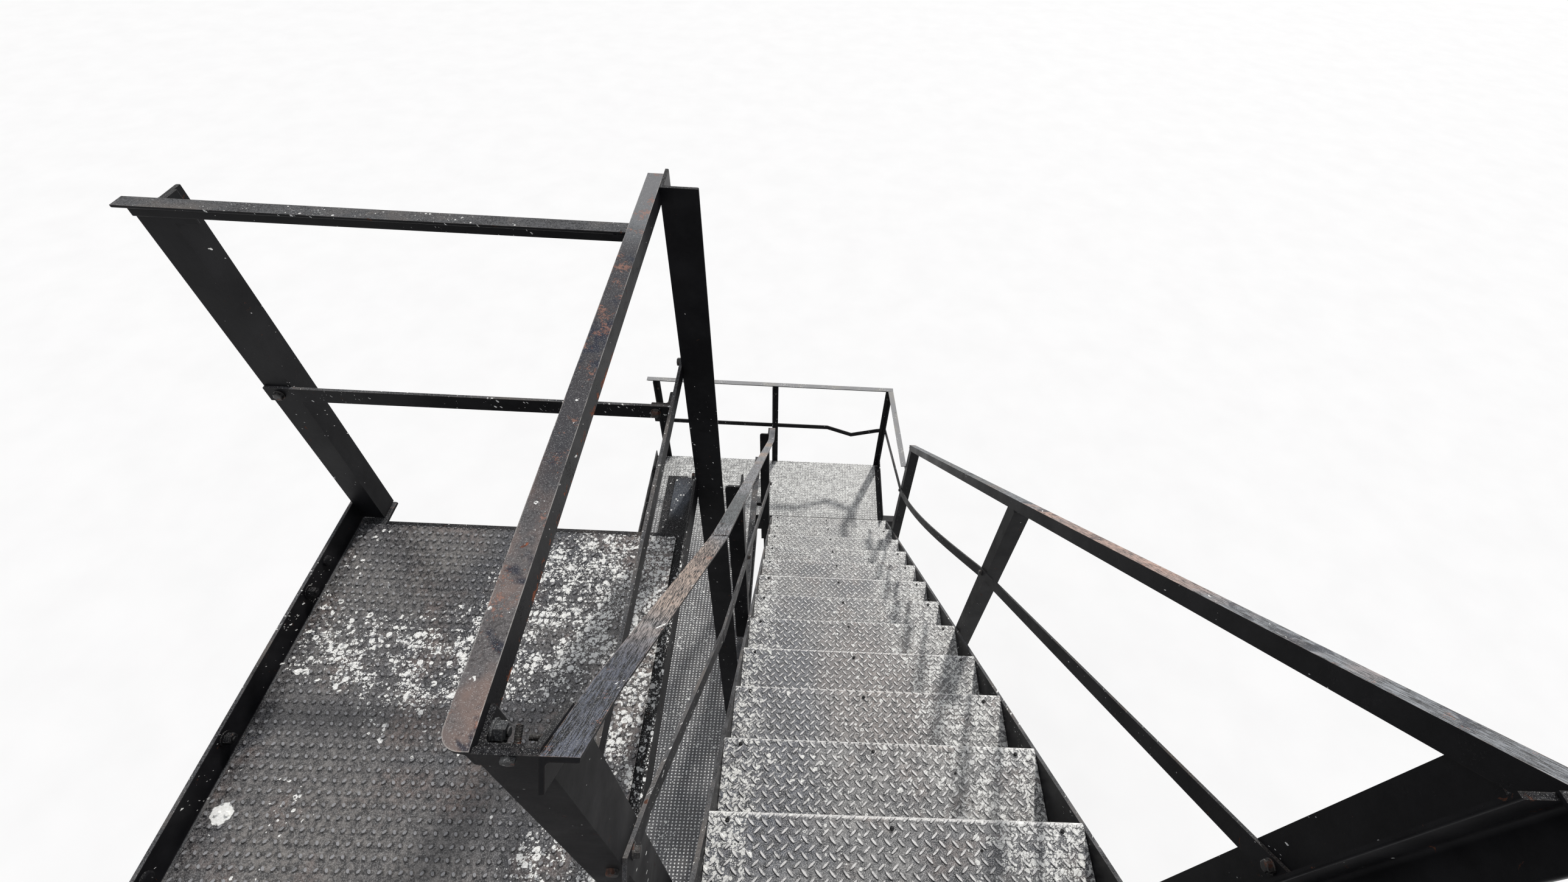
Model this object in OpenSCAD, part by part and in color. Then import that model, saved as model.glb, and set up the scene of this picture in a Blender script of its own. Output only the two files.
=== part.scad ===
/* [Levels] */
// Rise from one tread to the next
riser = 203.2; // [150:0.1:230]
// Level distance from one nosing to the next
tread_run = 220.3; // [180:0.1:300]
// Number of risers between the two balconies
upper_risers = 12; // [8:1:18]
// Number of risers from the lower balcony to the ground
lower_risers = 16; // [8:1:20]
// Height of the upper guard rail over its floor
guard_h = 790; // [700:1:1100]
// Height of the lower guard rail over its floor
lower_guard_h = 760; // [700:1:1100]
// Height of the upper mid rail's top edge over its floor
mid_rail_h = 414; // [300:1:600]
// Height of the lower mid rail's top edge over its floor
lower_mid_rail_h = 386; // [300:1:600]

/* [Balconies] */
// Width of the balcony from the wall to the outside of its edge angle
balcony_w = 775; // [600:1:1200]
// Where the top nosing lies, back from the far end of the upper balcony
flight_start = 770; // [500:1:1500]
// How far the header's face stands in front of the top nosing line
head_lip = 8; // [0:1:40]
// Depth of the platform at the head of each flight
head_depth = 760; // [500:1:1200]
// Depth of the landing at the foot of the upper flight
foot_depth = 500; // [400:1:1200]
// Outside of the foot landing, out from the wall
landing_w = 1625; // [1200:1:2200]
// Thickness of the raised-pattern floor plates
plate_t = 4.8; // [3:0.1:10]
// Gap left between the wall and the edge of the floor plates
plate_wall_gap = 14; // [8:1:40]
// Gap left bare between the upper floor plate and its far end
plate_end_gap = 14; // [0:1:40]
// Strip of the edge angle left bare beside the floor plates
edge_strip = 34; // [10:1:50]
// Leg of the ledger and edge angles
frame_leg = 63.5; // [50:0.1:102]
// Thickness of the ledger and edge angles
frame_t = 6.35; // [4:0.05:13]
// Depth of the beams
beam_d = 152.4; // [100:0.1:254]
// Flange width of the beams
beam_flange = 49; // [30:1:80]
// Thickness of the beam webs
beam_web = 6; // [4:0.1:12]
// Thickness of the beam flanges
beam_flange_t = 8; // [4:0.1:14]
// Leg of the bearers under the plates
bearer_leg = 76.2; // [50:0.1:102]
// Distance between bearers, about
bearer_pitch = 640; // [300:1:900]
// How far the narrow plate reaches back from the front of the foot landing
strip_back = 101; // [40:1:200]
// How far it reaches forward from there
strip_front = 84; // [20:1:200]
// Seam between two floor plates
seam = 2; // [1:0.5:10]
// Clearance at the ends of coped beams
beam_gap = 8; // [1:1:20]
// Leg of the clip angles at beams and stringers
clip_leg = 50; // [30:1:76]
// Thickness of the clip angles
clip_t = 6; // [4:0.1:10]
// Length of the clip angles
clip_len = 90; // [60:1:130]
// How much lower the clips at the foot of the upper flight are set, clear of the last tread's cleats
foot_clip_drop = 10; // [4:1:20]

/* [Flights] */
// Clear distance between the two stringers
flight_w = 782; // [600:1:1200]
// Gap between the balcony's edge angle and the left stringer
flight_gap = 82.5; // [0:0.5:200]
// Thickness of the stringer bars
stringer_t = 9.5; // [6:0.1:16]
// Depth of the stringer bars
stringer_d = 203.2; // [150:0.1:305]
// How far the stringer's top edge lies under the line of the nosings
stringer_drop = 14; // [0:1:60]
// Thickness of the tread plates
tread_t = 6; // [4:0.1:12]
// Depth of each tread from nosing to back edge
tread_depth = 246; // [200:1:320]
// Depth of the turned-down nosing
nosing_d = 38; // [20:1:60]
// Outside bend radius of the nosing
nosing_r = 9; // [7:0.5:16]
// Gap between the tread plates' ends and the stringers
tread_gap = 1; // [0.3:0.1:5]
// Leg of the cleats that carry the treads
cleat_leg = 38; // [25:1:64]
// Thickness of the cleats
cleat_t = 5; // [3:0.1:10]
// Length of the cleats
cleat_len = 170; // [80:1:200]
// How far the lower stringers run past the lowest nosing
stringer_over = 60; // [20:1:120]

/* [Columns and posts] */
// Leg of the columns
column_leg = 63.5; // [50:0.1:102]
// Thickness of the columns
column_t = 6.35; // [4:0.05:13]
// Leg of the rail posts of the flights
post_leg = 50.8; // [38:0.1:76]
// Thickness of the rail posts
post_t = 6.35; // [4:0.05:13]
// Leg of the foot landing's guard posts
thin_post_leg = 38; // [25:1:64]
// Side of the foot plates
foot_w = 150; // [120:1:250]
// Thickness of the foot plates
foot_t = 12; // [8:1:25]
// Leg of the foot angles under the lower stringers
foot_angle_leg = 63.5; // [50:0.1:102]
// Length of the foot angles
foot_angle_len = 120; // [80:1:200]
// Distance between the anchor holes of a foot plate
foot_hole_pitch = 102; // [80:1:200]
// Diameter of the anchor holes
anchor_hole_d = 18; // [10:0.5:26]
// Diameter of the wall anchor holes in the ledgers
ledger_hole_d = 17.5; // [10:0.5:26]
// Distance between the wall anchor holes
ledger_hole_pitch = 600; // [300:1:900]
// Least distance from a ledger's end to its first anchor hole
ledger_hole_end = 50; // [30:1:100]
// How far the anchor holes lie under the ledger's top edge
ledger_hole_drop = 20; // [15:1:30]

// Where the far column stands, past the far end of the upper balcony
column_y = 118; // [60:1:300]
// Leg of the near left column across the flight
near_left_leg = 52; // [38:1:76]
// How far the near left column stops under the top of the outer rail
near_left_drop = 4; // [0:1:20]
// Gap between the near right column and the underside of its handrail
under_rail_gap = 2; // [0.5:0.1:10]
// How far a rail post reaches down from the line of the nosings
post_tail = 180; // [100:1:260]
// How far the left posts stop under the line of the handrail
left_post_drop = 14; // [0:1:40]
// How far the right posts stop under the line of the handrail
right_post_drop = 56; // [40:1:70]
// Radius of the left posts' rounded top corner
post_corner_r = 14; // [2:1:25]
// Distance between the lower flight's rail posts
lower_post_pitch = 1075; // [700:1:1300]
// Where the lower left rail post stands, past the far end of the upper balcony
low_left_y = 1680; // [1400:1:1800]
// Where the middle left rail post stands, past the far end of the upper balcony
mid_left_y = 345; // [200:1:900]
// Where the lower right rail post stands, past the far end of the upper balcony
low_right_y = 1660; // [1400:1:1800]
// Where the middle right rail post stands, past the far end of the upper balcony
mid_right_y = 285; // [200:1:900]

/* [Rails] */
// How far the outer rails run past the far column's face
top_rail_over = 46; // [0:1:80]
// Level leg of the guards' top rail angles
rail_leg = 26; // [20:0.1:51]
// Upright leg of the guards' top rail angles
rail_drop = 30; // [20:0.1:51]
// Thickness of the top rail angles
rail_t = 5; // [3:0.1:10]
// Radius of the outer top rail's rounded near corner
rail_end_r = 18; // [2:1:24]
// Width of the handrail angles
handrail_leg = 32; // [25:1:51]
// Thickness of the handrail angles
handrail_t = 4.8; // [3:0.1:8]
// Height of the handrails over the line of the nosings
handrail_h = 794; // [700:1:1000]
// Radius of the bend that levels the left handrail at its lower end
handrail_bend_r = 150; // [60:1:300]
// Length of its level end
handrail_end = 33; // [10:1:60]
// Place where the left handrail and mid rail begin to run askew, back from the balcony's far end
skew_start = 660; // [500:1:740]
// Place where they meet the posts' line, back from the balcony's far end
skew_end = 170; // [0:1:400]
// How far the lengths of the left mid rail lap where they meet that line
skew_lap = 3; // [1:0.5:10]
// Gap that the weld fills between the lengths of a left handrail
weld_gap = 0.3; // [0.1:0.1:2]
// Height of the flight mid rails' top edge over the line of the nosings
flight_mid_h = 410; // [300:1:600]
// Leg and length of the small clips at the rails' ends
rail_clip_leg = 36; // [25:1:51]
// Depth of the mid rail bars
bar_d = 32; // [20:1:51]
// Thickness of the mid rail bars
bar_t = 6; // [4:0.1:10]
// How far the right mid rail is bent towards the treads
mid_rail_bow = 42; // [0:1:80]
// How far the far guard's mid rail is bent down
far_rail_dip = 62; // [0:1:90]
// Where that bend lies, in from the outside of the landing
far_dip_in = 235; // [150:1:400]
// How far that bend reaches to either side
far_dip_reach = 170; // [60:1:200]
// How far the same rail hangs down past its bend
side_dip = 12; // [0:1:60]
// How much higher the landing's side mid rail ends at the flight's post
side_rail_rise = 170; // [0:1:300]
// Where the far guard's rails begin, out from the wall
landing_rail_x = 30; // [10:1:80]
// Where the far guard's first post stands, out from the wall
landing_post_x = 70; // [20:1:200]
// Where the far guard's middle post stands, out from the wall
landing_mid_post_x = 840; // [600:1:1100]

/* [Shown] */
// Node to draw

/* [Hidden] */
$fn = 32;
slope = atan(riser / tread_run);
lower_z = -riser * upper_risers;
ground_z = lower_z - riser * lower_risers;
plate_z = -plate_t;
frame_z = plate_z - frame_t;
edge_x = balcony_w;
stringer_in = edge_x + flight_gap + stringer_t;
stringer_out = edge_x + flight_gap;
right_in = stringer_in + flight_w;
right_out = right_in + stringer_t;
head_y = -flight_start;
head_end_y = head_y - head_depth;
foot_y = head_y + tread_run * upper_risers;
foot_end_y = foot_y + foot_depth;
foot_cut_y = head_y + tread_run * (lower_risers - 1) + stringer_over;
header_y = head_y + head_lip;
near_left_x = edge_x + near_left_leg;
beam_top_z = frame_z;
clip_top_z = beam_top_z - (beam_d - clip_len) / 2;
wall_post_x = frame_t;
end_rail_y = bar_t;
edge_end_y = column_y + column_leg - beam_gap;
strip_y0 = foot_y - strip_back;
strip_y1 = foot_y + strip_front;
bow_parts = 14;
bend_parts = 8;
landing_side_x = landing_w - frame_t;
low_rail_leg = stringer_out - post_leg - edge_x;
landing_post_xs = [landing_post_x, landing_mid_post_x];
lower_post_ys = [for (i = [0 : 2]) mid_left_y + i * lower_post_pitch];
landing_beam_x = max(right_out + column_leg + beam_gap, landing_w);
post_round_x = stringer_out - post_leg;

bend_end_y = low_left_y + post_leg - handrail_end;
handrail_end_z = handrail_h - (bend_end_y - head_y) * riser / tread_run
    + handrail_bend_r * (1 / cos(slope) - 1);

// Puts the work, drawn from the wall, the balcony's far end and the upper floor, over the far column's foot
module site() {
    translate([-(edge_x + column_leg / 2), -(column_y + column_leg / 2), -ground_z]) children();
}

// Rolled angle outline with its heel at the origin, a root fillet and rounded toes
module angle_outline(a, b, t) {
    root = t * 0.9;
    toe = t * 0.45;
    difference() {
        union() {
            square([a, t]);
            square([t, b]);
            translate([t, t]) difference() {
                square(root);
                translate([root, root]) circle(r = root);
            }
        }
        translate([a - toe, t - toe]) difference() {
            square(toe + 1);
            circle(r = toe);
        }
        translate([t - toe, b - toe]) difference() {
            square(toe + 1);
            circle(r = toe);
        }
    }
}

// Channel outline, web on the local y axis, flanges towards +x
module channel_outline(d, flange, web, flange_thick) {
    difference() {
        square([flange, d]);
        translate([web, flange_thick]) square([flange, d - 2 * flange_thick]);
    }
}

// Upright member from one level to another; sx and sy turn the legs
module upright(x, y, z0, z1, sx = 1, sy = 1) {
    translate([x, y, z0]) scale([sx, sy, 1]) linear_extrude(z1 - z0) children();
}

// Member along +Y, falling at the given slope; local y points down
module along_y(y, z, len, fall = 0) {
    translate([0, y, z]) rotate([-(90 + fall), 0, 0]) linear_extrude(len) children();
}

// Member along +X; local y points down and local x points to -Y
module along_x(x, y, z, len) {
    translate([x, y, z]) rotate([-90, 0, 0]) rotate([0, 90, 0]) linear_extrude(len) children();
}

// Height of the nosing line of a flight whose head is at head_z
function nosing_z(y, head_z) = head_z - (y - head_y) * riser / tread_run;

// Column foot plate with four anchor holes
module foot_plate(x, y) {
    translate([x, y, ground_z]) difference() {
        translate([-foot_w / 2, -foot_w / 2, 0]) cube([foot_w, foot_w, foot_t]);
        for (i = [-1, 1]) for (j = [-1, 1])
            translate([i * foot_hole_pitch / 2, j * foot_hole_pitch / 2, -1])
                cylinder(d = anchor_hole_d, h = foot_t + 2);
    }
}

module column_feet() {
    half = column_leg / 2;
    color("#222222") site() {
        foot_plate(edge_x + half, column_y + half);
        foot_plate(near_left_x - near_left_leg / 2, header_y + half);
        foot_plate(right_out + half, header_y + half);
        foot_plate(edge_x + half, head_end_y - half);
        foot_plate(right_out + half, head_end_y - half);
        foot_plate(edge_x + half, foot_end_y - half);
        foot_plate(right_out + half, foot_y + half);
    }
}

// Foot angle of a stringer at the ground
module stringer_foot(x, turn) {
    along_y(foot_cut_y - foot_angle_len, ground_z, foot_angle_len)
        translate([x, 0]) scale([turn, -1]) angle_outline(foot_angle_leg, foot_angle_leg, frame_t);
}

module far_column() {
    color("#1a1a1a") site()
        upright(edge_x, column_y, ground_z + foot_t, guard_h) angle_outline(column_leg, column_leg, column_t);
}

// Column whose leg beside the left handrail is cut along the handrail's slope
module near_left_column() {
    top = guard_h - near_left_drop;
    past = column_leg + 1;
    color("#1a1a1a") site() difference() {
        upright(near_left_x, header_y, ground_z + foot_t, top, -1, 1)
            angle_outline(near_left_leg, column_leg, column_t);
        translate([near_left_x + 1, header_y, top]) rotate([90, 0, -90]) linear_extrude(near_left_leg + 2)
            polygon([[-column_t, 0], [-column_t, 1], [-past, 1], [-past, -(past - column_t) * riser / tread_run]]);
    }
}

module near_right_column() {
    color("#1a1a1a") site()
        upright(right_out, header_y, ground_z + foot_t, handrail_under(header_y + column_leg), 1, 1)
            angle_outline(column_leg, column_leg, column_t);
}

// Level just under the right handrail's top leg at the given place
function handrail_under(y) =
    min(guard_h, nosing_z(y, 0) + handrail_h) - handrail_t / cos(slope) - under_rail_gap;

module end_columns() {
    color("#1a1a1a") site() for (x = [edge_x, right_out])
        upright(x, head_end_y, ground_z + foot_t, guard_h, 1, -1)
            angle_outline(column_leg, column_leg, column_t);
}

module landing_columns() {
    top = lower_z + beam_top_z - beam_d;
    color("#1a1a1a") site() {
        upright(edge_x, foot_end_y, ground_z + foot_t, top, 1, -1)
            angle_outline(column_leg, column_leg, column_t);
        upright(right_out, foot_y, ground_z + foot_t, top, 1, 1)
            angle_outline(column_leg, column_leg, column_t);
    }
}

// Wall ledger angle from y0 to y1 with its row of anchor holes
module ledger(y0, y1, z) {
    n = floor((y1 - y0 - 2 * ledger_hole_end) / ledger_hole_pitch);
    start = (y0 + y1) / 2 - n * ledger_hole_pitch / 2;
    difference() {
        along_y(y0, z + frame_z, y1 - y0) mirror([0, 1]) angle_outline(frame_leg, frame_leg, frame_t);
        for (i = [0 : n])
            translate([-1, start + i * ledger_hole_pitch, z + frame_z + frame_leg - ledger_hole_drop])
                rotate([0, 90, 0]) cylinder(d = ledger_hole_d, h = frame_t + 2);
    }
}

module upper_ledger() {
    color("#1c1c1c") site() ledger(head_end_y, end_rail_y + post_leg, 0);
}

module lower_ledger() {
    color("#1c1c1c") site() ledger(head_end_y, foot_end_y, lower_z);
}

// Edge angle along Y at x with the upright leg outside and the level leg under the plate
module edge_angle_y(x, y0, y1, z, turn = 1) {
    along_y(y0, z + frame_z, y1 - y0) translate([x, 0]) scale([-turn, -1])
        angle_outline(frame_leg, frame_leg, frame_t);
}

module upper_edge_angles() {
    color("#1c1c1c") site() {
        edge_angle_y(edge_x, header_y, edge_end_y, 0);
        edge_angle_y(right_out, head_end_y, header_y, 0);
    }
}

module lower_edge_angles() {
    color("#1c1c1c") site() {
        edge_angle_y(edge_x, header_y, low_left_y + post_leg, lower_z);
        edge_angle_y(right_out, head_end_y, header_y, lower_z);
        edge_angle_y(landing_w, foot_y, foot_end_y, lower_z);
    }
}

// Channel along Y with its web outside at x
module beam_y(x, y0, y1, z) {
    along_y(y0, z, y1 - y0) translate([x, 0]) mirror([1, 0])
        channel_outline(beam_d, beam_flange, beam_web, beam_flange_t);
}

// Channel along X with its web at y and a packing bar for the plates; side 1 turns the flanges towards -Y
module beam_x(x1, y, z, side, pack_x1) {
    along_x(0, y, z, x1) scale([side, 1]) channel_outline(beam_d, beam_flange, beam_web, beam_flange_t);
    translate([frame_leg, y - (side > 0 ? beam_flange : 0), z])
        cube([pack_x1 - frame_leg, beam_flange, frame_t]);
}

// Beams of one floor: along the balcony's edge, at the head of the flight and round the head platform
module floor_beams(z, far_y) {
    top = z + beam_top_z;
    pack = right_out - frame_leg;
    beam_y(edge_x - edge_strip, header_y + beam_gap, far_y, top);
    beam_x(right_out + column_leg, header_y, top, 1, pack);
    beam_x(right_out + column_leg, head_end_y, top, -1, pack);
    beam_y(right_out, head_end_y + beam_flange + beam_gap, header_y - beam_flange - beam_gap, top);
}

// Clip angle between two upright faces, its heel at x and y
module beam_clip(x, y, z, sx, sy) {
    upright(x, y, z - clip_len, z, sx, sy) angle_outline(clip_leg, clip_leg, clip_t);
}

// Clips at the head of a flight: balcony beam, both stringers and the platform's side beam
module head_clips(z) {
    top = z + clip_top_z;
    beam_clip(edge_x - edge_strip - beam_web, header_y, top, -1, 1);
    beam_clip(stringer_in, header_y, top, 1, 1);
    beam_clip(right_in, header_y, top, -1, 1);
    beam_clip(right_out - beam_web, header_y - beam_web, top, -1, -1);
    beam_clip(right_out - beam_web, head_end_y + beam_web, top, -1, 1);
}

module upper_beams() {
    color("#1a1a1a") site() floor_beams(0, column_y + column_leg);
}

module lower_beams() {
    color("#1a1a1a") site() floor_beams(lower_z, foot_y - beam_gap);
}

// Beams round the landing at the foot of the upper flight
module landing_beams() {
    top = lower_z + beam_top_z;
    pack = landing_w - frame_leg;
    color("#1a1a1a") site() {
        beam_x(landing_beam_x, foot_y, top, -1, pack);
        beam_x(landing_w, foot_end_y, top, 1, pack);
        beam_y(landing_w, foot_y + beam_flange + beam_gap, foot_end_y - beam_flange - beam_gap, top);
    }
}

// Clips at the foot landing, which carry the upper stringers' ends and the beams
module foot_clips(z) {
    top = z + clip_top_z - foot_clip_drop;
    beam_clip(edge_x - edge_strip - beam_web, foot_y, top, -1, -1);
    beam_clip(stringer_in, foot_y, top, 1, -1);
    beam_clip(right_in, foot_y, top, -1, -1);
    beam_clip(landing_w - beam_web, foot_y + beam_web, top, -1, 1);
    beam_clip(landing_w - beam_web, foot_end_y - beam_web, top, -1, -1);
}

module beam_clips() {
    color("#1a1a1a") site() {
        head_clips(0);
        head_clips(lower_z);
        foot_clips(lower_z);
    }
}

// Bearer along X under the plates: an angle with its upright leg down and a packing bar on top
module bearer(edge, y, z, back = 0) {
    along_x(0, y, z + beam_top_z, edge - beam_flange - back) angle_outline(bearer_leg, bearer_leg, frame_t);
    translate([frame_leg, y - bearer_leg, z + beam_top_z])
        cube([edge - 2 * frame_leg, bearer_leg, frame_t]);
}

// Bearers of one balcony between two places
module bearers(y0, y1, z) {
    n = max(1, round((y1 - y0) / bearer_pitch) - 1);
    for (i = [1 : n]) bearer(edge_x, y0 + (y1 - y0) * i / (n + 1), z, edge_strip);
}

module upper_bearers() {
    color("#1a1a1a") site() {
        bearers(header_y, 0, 0);
        bearer(edge_x, 0, 0, edge_strip);
        bearer(right_out, (header_y + head_end_y) / 2, 0);
    }
}

module lower_bearers() {
    color("#1a1a1a") site() {
        bearers(header_y, foot_y, lower_z);
        bearer(right_out, (header_y + head_end_y) / 2, lower_z);
        bearer(landing_w, (foot_y + foot_end_y) / 2 + bearer_leg / 2, lower_z);
    }
}

// Floor plate between two corners, its top at z
module floor_plate(x0, y0, x1, y1, z) {
    translate([x0, y0, z + plate_z]) cube([x1 - x0, y1 - y0, plate_t]);
}

module upper_floor_plates() {
    inner_x = edge_x - edge_strip;
    color("#55504a") site() {
        floor_plate(plate_wall_gap, header_y, inner_x, -plate_end_gap, 0);
        floor_plate(plate_wall_gap, head_end_y, right_out - edge_strip, header_y - seam, 0);
    }
}

module lower_floor_plates() {
    inner_x = edge_x - edge_strip;
    color("#8a8a88") site() {
        floor_plate(plate_wall_gap, header_y, inner_x, strip_y0 - seam, lower_z);
        floor_plate(plate_wall_gap, head_end_y, right_out - edge_strip, header_y - seam, lower_z);
        floor_plate(plate_wall_gap, strip_y0, inner_x, strip_y1 - seam, lower_z);
        floor_plate(plate_wall_gap, strip_y1, inner_x, foot_end_y, lower_z);
        floor_plate(inner_x + seam, foot_y, landing_w - edge_strip, foot_end_y, lower_z);
    }
}

// Stringer bar seen from the side: top edge parallel to the nosings, plumb cut at both ends
module stringer(x, head_z, last_y, cut_z) {
    over = 400;
    len = (last_y - head_y) / cos(slope) + 2 * over;
    intersection() {
        translate([x, head_y, head_z]) rotate([-slope, 0, 0])
            translate([0, -over, -(stringer_d + stringer_drop * cos(slope))])
                cube([stringer_t, len, stringer_d]);
        translate([x - 1, header_y, cut_z]) cube([stringer_t + 2, last_y - header_y, head_z - cut_z]);
    }
}

module left_stringer() {
    color("#181818") site() stringer(stringer_out, 0, foot_y, lower_z + beam_top_z - beam_d);
}

module right_stringer() {
    color("#181818") site() stringer(right_in, 0, foot_y, lower_z + beam_top_z - beam_d);
}

module lower_stringers() {
    color("#181818") site() {
        stringer(stringer_out, lower_z, foot_cut_y, ground_z);
        stringer(right_in, lower_z, foot_cut_y, ground_z);
        stringer_foot(stringer_in, 1);
        stringer_foot(right_in, -1);
    }
}

// Tread outline from nosing to back, local x towards the back, local y down
module tread_outline() {
    difference() {
        union() {
            translate([nosing_r, 0]) square([tread_depth - nosing_r, tread_t]);
            translate([0, nosing_r]) square([tread_t, nosing_d - nosing_r]);
            intersection() {
                translate([nosing_r, nosing_r]) circle(r = nosing_r);
                square(nosing_r);
            }
        }
        translate([nosing_r, nosing_r]) circle(r = nosing_r - tread_t);
    }
}

// Treads of one flight, each a bent plate
module treads(head_z, count) {
    for (k = [1 : count - 1])
        along_x(stringer_in + tread_gap, head_y + tread_run * k, head_z - riser * k, flight_w - 2 * tread_gap)
            tread_outline();
}

// The last one lies level with the foot landing
module upper_treads() {
    color("#7d7c78") site() treads(0, upper_risers + 1);
}

module lower_treads() {
    color("#7d7c78") site() treads(lower_z, lower_risers);
}

// Cleats of one flight, one under each end of each tread
module cleats(head_z, count) {
    for (k = [1 : count - 1]) {
        y = head_y + tread_run * k - nosing_d;
        z = head_z - riser * k - tread_t;
        along_y(y - cleat_len, z, cleat_len) translate([stringer_in, 0])
            angle_outline(cleat_leg, cleat_leg, cleat_t);
        along_y(y - cleat_len, z, cleat_len) translate([right_in, 0]) mirror([1, 0])
            angle_outline(cleat_leg, cleat_leg, cleat_t);
    }
}

module upper_tread_cleats() {
    color("#2a2a2a") site() cleats(0, upper_risers + 1);
}

module lower_tread_cleats() {
    color("#2a2a2a") site() cleats(lower_z, lower_risers);
}

// Rail post on the outside of a stringer, from under the line of the nosings up to z1
module flight_post(x, y, head_z, side, z1) {
    z0 = nosing_z(y, head_z) - post_tail;
    upright(x, y, z0, z1, side, 1) angle_outline(post_leg, post_leg, post_t);
}

// Cut that rounds the outer top corner of a left post
module corner_cut(y, z) {
    translate([post_round_x, y - 1, z]) rotate([-90, 0, 0]) linear_extrude(post_t + 2) difference() {
        translate([-1, -1]) square(post_corner_r + 1);
        translate([post_corner_r, post_corner_r]) circle(r = post_corner_r);
    }
}

// Left rail post with its rounded corner
module left_post(y, head_z, z1) {
    difference() {
        flight_post(stringer_out, y, head_z, -1, z1);
        corner_cut(y, z1);
    }
}

module left_flight_posts() {
    color("#161616") site() {
        left_post(mid_left_y, 0, nosing_z(mid_left_y, 0) + handrail_h - left_post_drop);
        left_post(low_left_y, 0, handrail_end_z);
    }
}

module right_flight_posts() {
    color("#161616") site() for (y = [mid_right_y, low_right_y])
        flight_post(right_out, y, 0, 1, nosing_z(y, 0) + handrail_h - right_post_drop);
}

module lower_flight_posts() {
    color("#161616") site() for (y = lower_post_ys) {
        top = nosing_z(y, lower_z) + handrail_h;
        left_post(y, lower_z, top - left_post_drop);
        flight_post(right_out, y, lower_z, 1, top - left_post_drop);
    }
}

// Straight member from one point to another; local x lies level and local y points down
module between(p0, p1) {
    d = p1 - p0;
    translate(p0) rotate([0, 0, -atan2(d.x, d.y)]) rotate([-(90 + asin(-d.z / norm(d))), 0, 0])
        linear_extrude(norm(d)) children();
}

// Point at a height over the nosing line of a flight
function over(x, y, head_z, h) = [x, y, nosing_z(y, head_z) + h];

// Sloping angle handrail with its upright leg against the posts
module handrail(x0, y0, x1, y1, head_z, turn) {
    between(over(x0, y0, head_z, handrail_h), over(x1, y1, head_z, handrail_h))
        scale([turn, 1]) angle_outline(handrail_leg, handrail_leg, handrail_t);
}

// Places along the left rails where their line changes: out from the wall, and along it
left_line = [
    [near_left_x, header_y], [near_left_x, -skew_start], [stringer_out, -skew_end]
];

// Keeps what lies between two places along the wall
module keep_between(y0, y1) {
    intersection() {
        children();
        translate([0, y0, ground_z]) cube([landing_w, y1 - y0, guard_h + handrail_h - ground_z]);
    }
}

// First two stretches of the left handrail, the second drawn on past its end and cut off plumb
module left_handrail_line(head_z) {
    skew = left_line[2] - left_line[1];
    past = left_line[2] + skew / 10;
    keep_between(head_end_y, -skew_end - weld_gap / 2) union() {
        handrail(near_left_x, header_y, near_left_x, -skew_start, head_z, 1);
        handrail(left_line[1].x, left_line[1].y, past.x, past.y, head_z, 1);
    }
}

// Point of the left handrail's bend at an angle from level, d under its top
function bend_point(a, d) = [
    bend_end_y - (handrail_bend_r + d) * sin(a),
    handrail_end_z + handrail_bend_r - (handrail_bend_r + d) * cos(a)
];

// Line d under the top of the left handrail's last stretch, its plumb ends moved out by more
function last_stretch(d, more) =
    let (y = -skew_end + weld_gap / 2 - more)
    concat(
        [[y, nosing_z(y, 0) + handrail_h - d / cos(slope)]],
        [for (i = [0 : bend_parts]) bend_point(slope * (1 - i / bend_parts), d)],
        [[low_left_y + post_leg + more, handrail_end_z - d]]
    );

// Band between two such lines, its side at x
module stretch_band(x, d0, d1, more) {
    back = last_stretch(d1, more);
    turned = [for (i = [len(back) - 1 : -1 : 0]) back[i]];
    translate([x, 0, 0]) rotate([90, 0, 90]) linear_extrude(handrail_leg)
        polygon(concat(last_stretch(d0, more), turned));
}

module left_handrail() {
    color("#4a3b30") site() {
        left_handrail_line(0);
        difference() {
            stretch_band(stringer_out, 0, handrail_leg, 0);
            stretch_band(stringer_out + handrail_t, handrail_t, handrail_leg + 1, 1);
        }
    }
}

module right_handrail() {
    x = right_out - handrail_t;
    color("#4a3b30") site() handrail(x, header_y, x, low_right_y + post_leg, 0, 1);
}

module lower_handrails() {
    last_y = lower_post_ys[2] + post_leg;
    color("#4a3b30") site() {
        left_handrail_line(lower_z);
        keep_between(-skew_end + weld_gap / 2, last_y)
            handrail(stringer_out, -skew_end - handrail_leg, stringer_out, last_y, lower_z, 1);
        handrail(right_out, header_y, right_out, last_y, lower_z, -1);
    }
}

// Sloping flat bar on edge
module sloping_bar(x0, y0, x1, y1, head_z) {
    between(over(x0, y0, head_z, flight_mid_h), over(x1, y1, head_z, flight_mid_h)) square([bar_t, bar_d]);
}

// Sloping flat bar on edge, bent sideways towards -X
module bowed_bar(x, y0, y1, head_z, bow) {
    p0 = over(x, y0, head_z, flight_mid_h);
    len = norm(over(x, y1, head_z, flight_mid_h) - p0);
    bent = [for (i = [0 : bow_parts]) [-bow * sin(180 * i / bow_parts), len * i / bow_parts]];
    back = [for (i = [bow_parts : -1 : 0]) [bent[i].x + bar_t, bent[i].y]];
    translate(p0) rotate([-(90 + slope), 0, 0]) translate([0, bar_d, 0]) rotate([90, 0, 0])
        linear_extrude(bar_d) polygon(concat(bent, back));
}

// Left mid rail, askew like the handrail
module left_mid_rail_line(head_z, last_y) {
    sloping_bar(left_line[0].x, header_y + column_t, left_line[1].x, left_line[1].y, head_z);
    sloping_bar(left_line[1].x, left_line[1].y, left_line[2].x, left_line[2].y, head_z);
    sloping_bar(stringer_out, -skew_end - skew_lap, stringer_out, last_y, head_z);
}

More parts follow.
